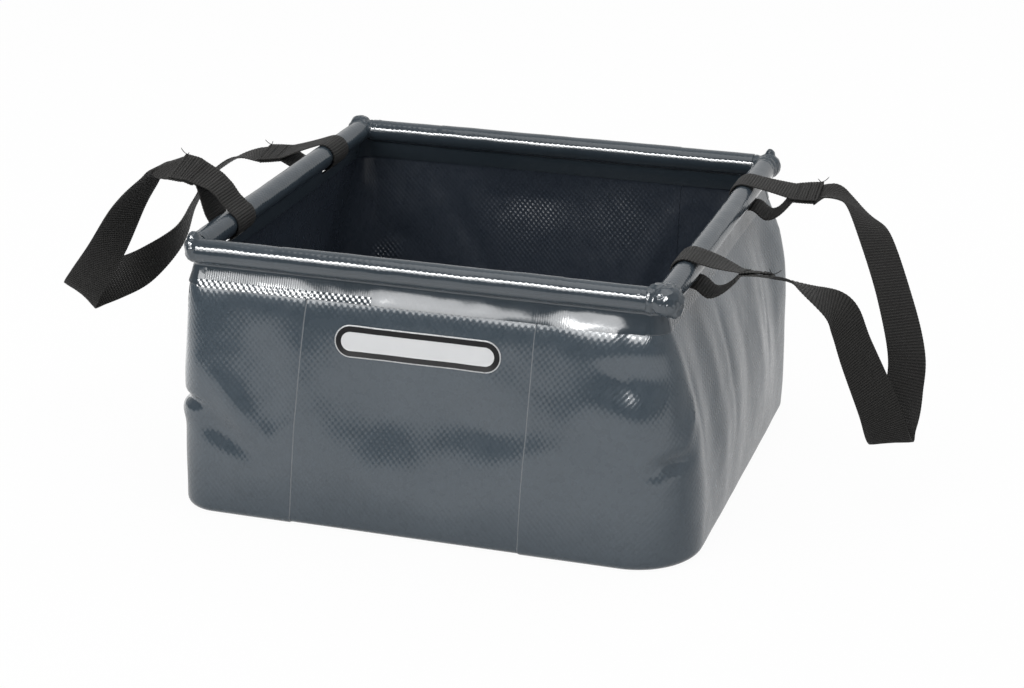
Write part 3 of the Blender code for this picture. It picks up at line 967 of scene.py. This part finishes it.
def add_skirt(shape, side_x, side_y, leans):
    """The welded band's curve round the corner, below the gather."""
    inner = rim_half - corner_half_width
    turn_centre = Vector((side_x * inner, side_y * inner, rim_height))
    middle = atan2(side_y, side_x)
    edge = cloth_thickness / 2
    face = layer_offset + edge + skirt_stand
    rings = []
    for step in range(skirt_steps + 1):
        share = step / skirt_steps
        turn = middle + (share - 0.5) * pi / 2
        beyond = {0: -skirt_run, skirt_steps: skirt_run}.get(step, 0.0)
        base = turn_centre + Vector((-sin(turn), cos(turn), 0)) * beyond
        outward = Vector((cos(turn), sin(turn), 0))
        lean = leans[0] + (leans[1] - leans[0]) * share
        ring = []
        for out, up in (
            (face, skirt_top),
            (face, neck_height),
            (face + lean * skirt_bend, (neck_height + band_foot) / 2),
            (face + lean, band_foot - flap_overlap),
            (layer_offset - edge + lean, band_foot - flap_overlap),
            (-layer_offset - edge + lean, band_foot),
            (-layer_offset - edge, neck_height),
            (-layer_offset - edge, skirt_top),
        ):
            spot = base + outward * (corner_half_width + out) + Vector((0, 0, up))
            ring.append(shape.verts.new(spot))
        rings.append(ring)
    join_rings(shape, rings)
    shape.faces.new(rings[0])
    shape.faces.new(rings[-1])


def add_corner(name, side_x, side_y, balls, leans, puckers, material):
    """A gathered knuckle of fabric over the meeting of two hems, with the band curving below."""
    crossing = Vector((side_x * rim_half, side_y * rim_half, rim_height))
    shape = bmesh.new()
    for x, y, z, *sizes in balls:
        add_ball(shape, crossing + Vector((side_x * x, side_y * y, z)), sizes)
    add_skirt(shape, side_x, side_y, leans)
    bmesh.ops.recalc_face_normals(shape, faces=shape.faces)
    piece = add_shape(name, shape)
    remesh = piece.modifiers.new("Remesh", "REMESH")
    remesh.mode = "VOXEL"
    remesh.voxel_size = corner_voxel
    soften = piece.modifiers.new("Soften", "SMOOTH")
    soften.factor = 0.5
    soften.iterations = soften_rounds
    bake_modifiers(piece)
    mesh = piece.data
    shape = opened(mesh)
    shape.normal_update()
    elsewhere = Vector((side_x * 5.0, side_y * 9.0, 0.0))
    moves = []
    for vert in shape.verts:
        spot = (vert.co - crossing) / pucker_size
        ridge = 1 - 2 * abs(noise.noise(spot + elsewhere))
        high = smoothstep(*pucker_rise, vert.co.z - rim_height)
        moves.append(vert.normal * (ridge * ridge * ridge * pucker_depth * puckers * high))
    for vert, move in zip(shape.verts, moves):
        vert.co += move
    put_back(shape, mesh)
    mesh.materials.clear()
    mesh.materials.append(material)
    mesh.shade_smooth()
    return piece


# Handles

strap_loop_radius = 0.00845
strap_layer_offset = 0.0009
loop_apex = 0.030
loop_steps = 24
tongue_steps = 4
leg_steps = 10
sewn_end = 0.047
handle_reach = 0.130
# Each loop: its angle, its lower leg's sag, its arch and the width's direction where it is sewn
left_near_loop = (radians(39), 0.004, 0.0080, (0.12, 0.93, 0.34))
left_far_loop = (radians(-6), 0.004, 0.0, (0.05, 0.98, 0.15))
right_near_loop = (0.0, 0.0085, 0.0, (-0.27, 0.90, -0.35))
right_far_loop = (radians(5), 0.0095, 0.0, (-0.22, 0.96, 0.19))
arch_start = 0.006
twist_start = 0.008
sag_start = 0.42
route_steps = 8
smooth_rounds = 10
sharp_strap_edge = radians(60)
# Rows of stitches, by distance from a raw end, and the bow of each stitch: place and rise
stitch_rows = (0.0022, 0.0072, 0.0138)
stitch_run = 0.0021
stitch_gap = 0.0005
stitched_share = 0.84
stitch_bow = ((-0.5, -0.00025), (-0.3, 0.00004), (0.0, 0.00012), (0.3, 0.00004), (0.5, -0.00025))
thread_radius = 0.00024
thread_sides = 6
thread_end_share = 0.4
# Tails of the thread: where each starts on the half width, and which way it bends
tail_ends = ((0.94, 1.0), (0.88, -0.5))
tail_steps = 8
tail_length = 0.0062
tail_spread = 0.0012
tail_overlap = 0.001
tail_run_share = 0.7
tail_rise_share = 0.55
tail_rise_power = 1.6
rib_pitch = 0.0018
rib_depth = 0.00044
warp_pitch = 0.0012
selvedge_drop = 0.45
selvedge_power = 8
strap_spacing = 0.00036
strap_columns = 10
# Shares of the handle's reach, of the loops' offset and of the reach, then the width's direction
left_strap_shares = (
    (0.352, -0.93, 0.214, (0.05, 0.96, 0.06)),
    (0.412, -0.91, 0.190, (0.16, 0.95, -0.18)),
    (0.486, -0.87, 0.102, (-0.20, 0.95, -0.16)),
    (0.606, -0.78, -0.042, (-0.55, 0.83, -0.07)),
    (0.760, -0.66, -0.276, (-0.75, 0.63, -0.19)),
    (0.906, -0.52, -0.466, (-0.82, 0.42, -0.38)),
    (0.978, -0.46, -0.562, (-0.76, 0.30, -0.58)),
    (0.996, -0.37, -0.596, (-0.72, 0.10, -0.69)),
    (0.964, -0.25, -0.588, (-0.70, -0.05, -0.71)),
    (0.892, -0.10, -0.562, (-0.55, -0.03, -0.83)),
    (0.778, 0.07, -0.506, (-0.19, 0.31, -0.93)),
    (0.666, 0.33, -0.392, (0.12, 0.72, -0.68)),
    (0.626, 0.52, -0.250, (0.30, 0.88, -0.36)),
    (0.582, 0.71, -0.128, (0.25, 0.94, -0.22)),
    (0.492, 0.88, -0.058, (0.12, 0.96, -0.20)),
)
right_strap_shares = (
    (0.455, -0.95, -0.032, (-0.07, 0.95, -0.30)),
    (0.574, -0.95, -0.087, (0.01, 0.99, 0.12)),
    (0.671, -0.88, -0.178, (0.44, 0.83, 0.34)),
    (0.731, -0.78, -0.360, (0.53, 0.73, 0.43)),
    (0.828, -0.62, -0.638, (0.74, 0.50, 0.42)),
    (0.866, -0.44, -0.820, (0.95, 0.17, 0.25)),
    (0.882, -0.32, -0.868, (0.99, 0.03, 0.14)),
    (0.880, -0.21, -0.822, (0.98, 0.02, 0.08)),
    (0.897, -0.06, -0.677, (0.82, 0.50, -0.18)),
    (0.885, 0.09, -0.525, (0.82, 0.54, -0.16)),
    (0.793, 0.29, -0.289, (0.80, 0.50, -0.33)),
    (0.660, 0.55, -0.055, (0.75, 0.61, -0.25)),
    (0.558, 0.77, 0.012, (0.54, 0.70, -0.47)),
    (0.440, 0.92, 0.040, (0.20, 0.97, -0.05)),
)


def loop_points(angle, sag_depth, arch):
    """One end of a strap, from its raw end round the sleeve to where the sewing ends."""
    height = strap_layer_offset
    distance = hypot(loop_apex, height)
    touch = atan2(height, loop_apex) + acos(strap_loop_radius / distance)
    middle = (sewn_end + loop_apex) / 2
    local = [(sewn_end, height), (middle, height), (loop_apex, height)]
    ring = arc((0, 0), strap_loop_radius, touch, 2 * pi - touch, loop_steps)
    for step in range(1, tongue_steps):
        local.append(tuple(Vector(local[2]).lerp(Vector(ring[0]), step / tongue_steps)))
    local += ring
    for step in range(1, leg_steps):
        share = step / leg_steps
        sag = -sag_depth * sin(pi * share) * smoothstep(0, sag_start, share)
        straight = Vector(ring[-1]).lerp(Vector((loop_apex, -height)), share)
        local.append(tuple(straight + Vector((0, sag))))
    local += [(loop_apex, -height), (middle, -height), (sewn_end, -height)]
    cosine, sine = cos(angle), sin(angle)
    points = []
    for a, b in local:
        share = limited((a - arch_start) / (sewn_end - arch_start))
        b += 4 * arch * share * (1 - share)
        points.append((a * cosine - b * sine, a * sine + b * cosine))
    return points


def smooth_route(points, steps):
    """A curve through all the points, with steps from each one to the next."""
    route = []
    last = len(points) - 1
    for index in range(last):
        before = points[max(index - 1, 0)]
        start, end = points[index], points[index + 1]
        after = points[min(index + 2, last)]
        for step in range(steps):
            t = step / steps
            spot = (
                start * 2
                + (end - before) * t
                + (before * 2 - start * 5 + end * 4 - after) * t * t
                + (start * 3 - before - end * 3 + after) * t * t * t
            )
            route.append(spot / 2)
    route.append(points[-1])
    return route


def loop_ways(twist):
    """The width's direction at each point of a loop, which twists towards its sewn end."""
    backwards = Vector((0, 1, 0))
    return [
        backwards.lerp(Vector(twist), smoothstep(twist_start, sewn_end, a)).normalized()
        for a, _ in loop_points(0.0, 0.0, 0.0)
    ]


def strap_stations(near_loop, far_loop, shares):
    """Places along a whole strap, from its rod's middle, and the width's direction at each."""
    near = [Vector((a, -loop_offset, b)) for a, b in loop_points(*near_loop[:3])]
    far = [Vector((a, loop_offset, b)) for a, b in reversed(loop_points(*far_loop[:3]))]
    near_ways = loop_ways(near_loop[3])
    far_ways = loop_ways(far_loop[3])[::-1]
    middle = []
    turns = []
    for out, along, up, direction in shares:
        middle.append(Vector((out * handle_reach, along * loop_offset, up * handle_reach)))
        turns.append(Vector(direction).normalized())
    inner = slice(route_steps, -route_steps - 1)
    places = smooth_route(near[-2:] + middle + far[:2], route_steps)[inner]
    ways = smooth_route(near_ways[-2:] + turns + far_ways[:2], route_steps)[inner]
    return near[:-1] + places + far, near_ways[:-1] + ways + far_ways


def evenly(centres, widths, spacing):
    """The same route with its stations at even spacing, and each one's length along it."""
    lengths = lengths_round(centres)[:-1]
    count = round(lengths[-1] / spacing)
    places = []
    ways = []
    marks = []
    index = 0
    for step in range(count + 1):
        mark = lengths[-1] * step / count
        while index < len(lengths) - 2 and lengths[index + 1] < mark:
            index += 1
        share = (mark - lengths[index]) / (lengths[index + 1] - lengths[index])
        places.append(centres[index].lerp(centres[index + 1], share))
        ways.append(widths[index].lerp(widths[index + 1], share))
        marks.append(mark)
    return places, ways, marks


def smoothed(points, rounds):
    for _ in range(rounds):
        inner = [(a + b * 2 + c) / 4 for a, b, c in zip(points, points[1:], points[2:])]
        points = [points[0], *inner, points[-1]]
    return points


def strap_rows(places, ways, marks):
    """Cross-sections of webbing with ribs across it and rounded selvedges."""
    last = len(places) - 1
    shares = [(index / strap_columns * 2 - 1) for index in range(strap_columns + 1)]
    rows = []
    for index, centre in enumerate(places):
        ahead = places[min(index + 2, last)] - places[max(index - 2, 0)]
        ahead.normalize()
        across = ways[index] - ahead * ways[index].dot(ahead)
        across.normalize()
        outward = ahead.cross(across)
        row = []
        for side, shift, columns in ((1, 0.0, shares), (-1, 0.5, shares[::-1])):
            rib = abs(sin(pi * (marks[index] / rib_pitch + shift)))
            thick = strap_thickness / 2 - rib_depth * (1 - rib)
            for share in columns:
                lift = thick * (1 - abs(share) ** selvedge_power * selvedge_drop) * side
                row.append(centre + across * (share * strap_width / 2) + outward * lift)
        rows.append(row)
    return rows


def strap_part(name, rows, marks):
    """A length of webbing. Its UV map holds across and along."""
    widths = [(index / strap_columns - 0.5) * strap_width for index in range(strap_columns + 1)]
    mesh = grid_mesh(name, rows, widths + widths[::-1] + widths[:1], marks)
    outwards(mesh)
    return mesh


def add_thread(shape, points):
    """A thin round thread along these points, merged into a mesh."""
    last = len(points) - 1
    rings = []
    side = (points[1] - points[0]).orthogonal().normalized()
    for index, point in enumerate(points):
        ahead = (points[min(index + 1, last)] - points[max(index - 1, 0)]).normalized()
        side = (side - ahead * side.dot(ahead)).normalized()
        other = ahead.cross(side)
        size = thread_radius * (thread_end_share if index in (0, last) else 1.0)
        ring = []
        for step in range(thread_sides):
            turn = 2 * pi * step / thread_sides
            spot = point + (side * cos(turn) + other * sin(turn)) * size
            ring.append(shape.verts.new(spot))
        rings.append(ring)
    for band in join_rings(shape, rings):
        for face in band:
            face.smooth = True
    shape.faces.new(rings[0][::-1])
    shape.faces.new(rings[-1])


def sew_end(shape, places, ways, step, skyward):
    """Stitches across the strap by one raw end, and the two tails of the thread."""
    first = 0 if step > 0 else len(places) - 1
    lift = strap_thickness / 2

    def station(distance):
        """A place on the strap with the directions ahead, across and away from it."""
        index = first + step * round(distance / strap_spacing)
        ahead = (places[index + step * 3] - places[index]).normalized()
        across = (ways[index] - ahead * ways[index].dot(ahead)).normalized()
        normal = ahead.cross(across)
        if normal.dot(skyward) < 0:
            normal.negate()
        return places[index], ahead, across, normal

    pitch = stitch_run + stitch_gap
    count = int(strap_width * stitched_share / pitch)
    for distance in stitch_rows:
        centre, ahead, across, normal = station(distance)
        for stitch in range(count):
            middle = (stitch - (count - 1) / 2) * pitch
            add_thread(shape, [
                centre + across * (middle + share * stitch_run) + normal * (lift + rise)
                for share, rise in stitch_bow
            ])
    centre, ahead, across, normal = station(0.0)
    for end, bend in tail_ends:
        points = []
        for mark in range(tail_steps + 1):
            share = mark / tail_steps
            spread = end * strap_width / 2 + tail_spread * bend * share * share
            rise = lift * (1 - share) + tail_length * tail_rise_share * share ** tail_rise_power
            run = tail_length * bend * share * tail_run_share - tail_overlap
            points.append(centre + across * spread + normal * rise - ahead * run)
        add_thread(shape, points)


def loop_length(loop):
    points = [Vector(point) for point in loop_points(*loop[:3])]
    return lengths_round(points)[-2]


def add_handle(name, side, near_loop, far_loop, shares, material):
    """The free length of a strap and its two sewn loops, as three pieces. Gives the pieces,
    and the two places where the free length starts and ends."""
    centres, widths = strap_stations(near_loop, far_loop, shares)
    axis = Vector((side * rim_half, 0, rim_height))
    centres = [Vector((side * spot.x, spot.y, spot.z)) + axis for spot in centres]
    widths = [Vector((side * way.x, way.y, way.z)) for way in widths]
    places, ways, marks = evenly(centres, widths, strap_spacing)
    places = smoothed(places, smooth_rounds)
    rows = strap_rows(places, ways, marks)
    near_cut = round(loop_length(near_loop) / strap_spacing)
    far_cut = len(rows) - 1 - round(loop_length(far_loop) / strap_spacing)
    pieces = []
    for part, first, last, step, loop in (
        ("webbing", near_cut, far_cut, 0, None),
        ("near_loop", 0, near_cut, 1, near_loop),
        ("far_loop", far_cut, len(rows) - 1, -1, far_loop),
    ):
        mesh = strap_part(name + "_" + part, rows[first:last + 1], marks[first:last + 1])
        if loop:
            shape = opened(mesh)
            skyward = Vector((-side * sin(loop[0]), 0, cos(loop[0])))
            sew_end(shape, places, ways, step, skyward)
            put_back(shape, mesh)
        mesh.materials.append(material)
        pieces.append(add_object(name + "_" + part, mesh))
        mesh.set_sharp_from_angle(angle=sharp_strap_edge)
    return pieces, places[near_cut], places[far_cut]


# Label

round_steps = 20
straight_runs = 24
label_stand = 0.0001
film_thickness = 0.0002
# Inset from the outline, and how far the film stands out there
label_rings = (
    (0.0, 0.00010), (0.0001, 0.00042), (0.0007, 0.00048), (0.0008, 0.00042),
    (0.0039, 0.00042), (0.0040, 0.00036), (0.0056, 0.00036), (0.0074, 0.00036),
)
# Materials between the rings: edge, border, field
label_kinds = (0, 0, 0, 1, 1, 2, 2)


def add_label(wall, edge_material, border_material, field_material):
    """A pill-shaped film on the front wall: a thin pale edge, a dark border and a plain field."""
    graph = bpy.context.evaluated_depsgraph_get()
    graph.update()
    tree = BVHTree.FromObject(wall, graph)
    backwards = Vector((0, 1, 0))
    shape = bmesh.new()
    rows = []
    for inset, lift in label_rings:
        size = (label_length - 2 * inset, label_height - 2 * inset)
        row = []
        for across, up in pill(*size, round_steps, straight_runs):
            start = Vector((label_shift + across, -0.2, label_middle + up))
            place = tree.ray_cast(start, backwards)[0]
            row.append(shape.verts.new(place - backwards * (lift + label_stand)))
        rows.append(row)
    for kind, band in zip(label_kinds, join_rings(shape, rows)):
        for face in band:
            face.material_index = kind
    last = rows[-1]
    count = len(last)
    rightmost = round_steps // 2
    for index in range(rightmost, rightmost + count // 2):
        below = 2 * rightmost - index
        ring = (last[index], last[index + 1], last[(below - 1) % count], last[below % count])
        shape.faces.new(list(dict.fromkeys(ring))).material_index = 2
    for face in shape.faces:
        face.smooth = True
    bmesh.ops.recalc_face_normals(shape, faces=shape.faces)
    shape.faces.ensure_lookup_table()
    if shape.faces[-1].normal.y > 0:
        bmesh.ops.reverse_faces(shape, faces=shape.faces)
    piece = add_shape("label_film", shape, (edge_material, border_material, field_material))
    thicken(piece, film_thickness)
    return piece


# Camera

# Azimuth, elevation and roll, fitted to the photograph
camera_turns = (17.041, 20.40, 0.545)
camera_distance = 1.442533
shift_right, shift_up = -0.00981, 0.084992
focal_pixels, image_width, sensor_width = 2351.25, 1024, 36.0


def direction(azimuth, elevation):
    """The way to a place round the object. Azimuth 0 is in front and a quarter turn is right."""
    level = cos(elevation)
    return Vector((sin(azimuth) * level, -cos(azimuth) * level, sin(elevation)))


def add_camera():
    azimuth, elevation, roll = (radians(angle) for angle in camera_turns)
    back = direction(azimuth, elevation)
    right = Vector((cos(azimuth), sin(azimuth), 0))
    up = back.cross(right)
    turned_right = right * cos(roll) + up * sin(roll)
    turned_up = up * cos(roll) - right * sin(roll)
    place = back * camera_distance - turned_right * shift_right - turned_up * shift_up
    data = bpy.data.cameras.new("camera")
    data.sensor_width = sensor_width
    data.lens = focal_pixels / image_width * sensor_width
    data.clip_end = 50
    camera = add_object("camera", data)
    rotation = Matrix((turned_right, turned_up, back)).transposed().to_4x4()
    camera.matrix_world = Matrix.Translation(place + Vector((0, 0, rim_height))) @ rotation
    bpy.context.scene.camera = camera


# Studio

light_target = (0, 0, 0.08)
floor_half = 8.0
floor_tone = (0.82, 0.82, 0.82, 1)
floor_glow = 0.955
front_glow = 1.6
back_glow = 0.62
near_glow = 0.50
side_glow = 1.35
far_share = 0.12
# Places on the floor: from and to which distance, or across, or back, its light changes
bright_to_dark = (0.75, 1.40)
near_to_side = (0.20, 0.36)
left_to_right = (0.10, 0.20)
front_to_back = (-0.24, -0.13)
# The room, along a level way that points behind the object and to its right
behind = (0.6, 0.8)
front_to_rear = (-0.85, 0.20)
room_levels = (0.16, 0.62)
white = (1, 1, 1, 1)


def add_light(name, azimuth, elevation, distance, width, height, power, gloss=True, diffuse=True):
    """A soft box."""
    data = bpy.data.lights.new(name, "AREA")
    data.shape = "RECTANGLE"
    data.size = width
    data.size_y = height
    data.energy = power
    lamp = add_object(name, data)
    way = direction(radians(azimuth), radians(elevation))
    lamp.location = Vector(light_target) + way * distance
    lamp.rotation_euler = way.to_track_quat("Z", "Y").to_euler()
    lamp.visible_camera = False
    lamp.visible_diffuse = diffuse
    lamp.visible_glossy = gloss


def mixed_output(tree, kind, share, first, second):
    """Ends a tree with a mix of two shaders."""
    shares = {0: share, 1: first.outputs[0], 2: second.outputs[0]}
    mix = add_node(tree, "ShaderNodeMixShader", shares)
    add_node(tree, kind, {"Surface": mix.outputs[0]})


def add_floor():
    """A pale floor. It looks white to the camera but for its shadow, and its mirror image in
    the gloss ends in front of the object, as that of a table does."""
    mesh = bpy.data.meshes.new("floor")
    half = floor_half
    square = [(-half, -half, 0), (half, -half, 0), (half, half, 0), (-half, half, 0)]
    mesh.from_pydata(square, [], [(0, 1, 2, 3)])
    floor = add_object("floor", mesh)
    material, tree, _ = new_material("floor")
    tree.nodes.clear()
    across, back, _ = split(tree, coordinates(tree)["Object"])
    distance = (across * across + back * back).do("SQRT")
    reach = distance.ranged(*bright_to_dark, 1.0, far_share)
    table = distance.ranged(*near_to_side, near_glow, side_glow) * reach
    on_right = across.ranged(*left_to_right)
    rear = on_right * back_glow + on_right.rest() * table
    ahead = back.ranged(*front_to_back, 1.0, 0.0)
    level = reach * front_glow * ahead + rear * ahead.rest()
    path = add_node(tree, "ShaderNodeLightPath").outputs
    seen = Value(tree, path["Is Camera Ray"])
    mirrored = Value(tree, path["Is Glossy Ray"]).do("MAXIMUM", path["Is Transmission Ray"])
    strength = seen.do("MAXIMUM", level * mirrored)
    diffuse = add_node(tree, "ShaderNodeBsdfDiffuse", {"Color": floor_tone})
    glow = add_node(tree, "ShaderNodeEmission", {"Color": white, "Strength": strength})
    share = (seen * floor_glow).do("MAXIMUM", mirrored)
    mixed_output(tree, "ShaderNodeOutputMaterial", share, diffuse, glow)
    mesh.materials.append(material)


def add_world():
    """A pale room: bright behind the object, dimmer on the camera's side."""
    world = bpy.data.worlds.new("room")
    bpy.context.scene.world = world
    world.use_nodes = True
    tree = world.node_tree
    tree.nodes.clear()
    right, back, _ = split(tree, coordinates(tree)["Generated"])
    level = (right * behind[0] + back * behind[1]).ranged(
        *front_to_rear, *room_levels, interpolation_type="SMOOTHSTEP"
    )
    room = add_node(tree, "ShaderNodeBackground", {"Color": white, "Strength": level})
    plain = add_node(tree, "ShaderNodeBackground", {"Color": white, "Strength": 1.0})
    seen = add_node(tree, "ShaderNodeLightPath").outputs["Is Camera Ray"]
    mixed_output(tree, "ShaderNodeOutputWorld", seen, room, plain)


# Making

add_camera()
add_floor()
add_world()
add_light("key_strip", -20, 38, 1.7, 1.5, 0.22, 44.0, diffuse=False)
add_light("fill_box", -20, 33, 1.9, 1.6, 0.85, 14.0)
add_light("band_box", -20, 30, 1.85, 1.6, 0.45, 12.0, diffuse=False)
add_light("top_box", 10, 82, 1.6, 1.3, 1.3, 9.0)
add_light("rear_box", 150, 42, 1.8, 1.5, 0.9, 8.0, gloss=False)
add_light("side_box", -120, 36, 1.8, 1.3, 0.8, 4.0, gloss=False)

outside = coated_material(
    "coated_outside", (0.058, 0.078, 0.097), (0.046, 0.064, 0.081), 0.28, 0.000046
)
# Spots of the inside that catch the light: centre, reach, gain
glossy_spots = (
    ((-0.020, 0.139, 0.108), 0.044, 4.3),
    ((0.044, 0.139, 0.112), 0.034, 3.4),
    ((-0.123, 0.139, 0.071), 0.015, 9.0),
)
# The inside is the outside's coated fabric with a darker colour: painted shade inside the bowl.
inside = coated_material(
    "coated_inside_painted_shade", (0.036, 0.045, 0.060), (0.028, 0.036, 0.050), 0.28, 0.00003,
    raised_spots=glossy_spots,
)
hem_tones = ((0.044, 0.058, 0.072), (0.035, 0.048, 0.060))
hem_finish = coated_material("welded_hem", *hem_tones, 0.20, 0.000028, banded=True)
corner_finish = coated_material("gathered_corner", *hem_tones, 0.22, 0.00002, from_uv=False)
# The seam bead's pale colour is partly the welded edge's own and partly a painted highlight along
# the lap seam.
bead = plain_material("seam_bead", (0.15, 0.165, 0.18), 0.25, 0.35, scale=700.0)
webbing = webbing_material()

travel = next(joint for joint in frame["joints"] if joint["name"] == "rim_collapse")["range_m"][1]
kept_height = (wall_top - travel) / wall_top


def on_bowl(piece, nodes):
    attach(piece, "bowl")
    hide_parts(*nodes)
    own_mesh(piece)


shape = bowl_surface(lap_step, wall_top + tuck_height)
cut_across(shape, lap_edge_offset, lap_edge_offset, drop_beyond=1)
cut_across(shape, -lap_edge_offset, -lap_edge_offset, drop_beyond=-1)
centre_sheet = add_sheet("centre_fabric", shape, (outside, inside))
on_bowl(centre_sheet, ["centre_sheet"])

for name, side in (("left", -1), ("right", 1)):
    top, foot = lap_seams[name]
    shape = bowl_surface(0.0, wall_top + tuck_height)
    cut_across(shape, top, foot, drop_beyond=-side)
    for step in (1, 2):
        cut_across(shape, top + side * step * seam_bead, foot + side * step * seam_bead)
    sink_seam(shape, top, foot, side, 2)
    piece = add_sheet(name + "_fabric", shape, (outside, inside, bead))
    on_bowl(piece, [name + "_sheet"])
    name + "_hem"

label = add_label(
    centre_sheet,
    plain_material("label_edge", (0.50, 0.51, 0.52), 0.05, 0.35),
    plain_material("label_border", (0.004, 0.004, 0.005), 0.2, 0.45, gloss_level=0.18),
    plain_material("label_field", (0.70, 0.71, 0.72), 0.04, 0.38),
)
on_bowl(label, ["label"])

for name, side_x, side_y, (first, second), puckers, balls in corner_kinds:
    leans = (lean_at(first, 1.0), lean_at(second, 0.0))
    piece = add_corner(name + "_gather", side_x, side_y, balls, leans, puckers, corner_finish)
    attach(piece, "rim")
    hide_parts(name)

for side in ("front", "back", "left", "right"):
    piece = add_hem(side, hem_finish)
    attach(piece, "rim")
    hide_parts(side + "_hem")

for name, side, body, lying, *route in (
    ("left_handle", -1, "left_grip", 0.58, left_near_loop, left_far_loop, left_strap_shares),
    ("right_handle", 1, "right_grip", 0.32, right_near_loop, right_far_loop, right_strap_shares),
):
    pieces, start, end = add_handle(name, side, *route, webbing)
    for piece in pieces:
        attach(piece, body)
        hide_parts(name)
    # The way from the free length's start to its end, and the upward way square to it
    between = (end - start).normalized()
    upwards = Vector((0, 0, 1)) - between * between.z
    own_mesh(pieces[0])

rod_finish = plain_material("drawn_tube", (0.55, 0.56, 0.58), 0.06, 0.32, metallic=1.0, scale=400.0)
plug_finish = plain_material("moulded_plug", (0.03, 0.03, 0.03), 0.15, 0.45)
for name, node in frame["nodes"].items():
    if name.endswith("_plug"):
        node.data.materials.clear()
        node.data.materials.append(plug_finish)
    elif name.endswith("_rod"):
        node.data.materials.clear()
        node.data.materials.append(rod_finish)
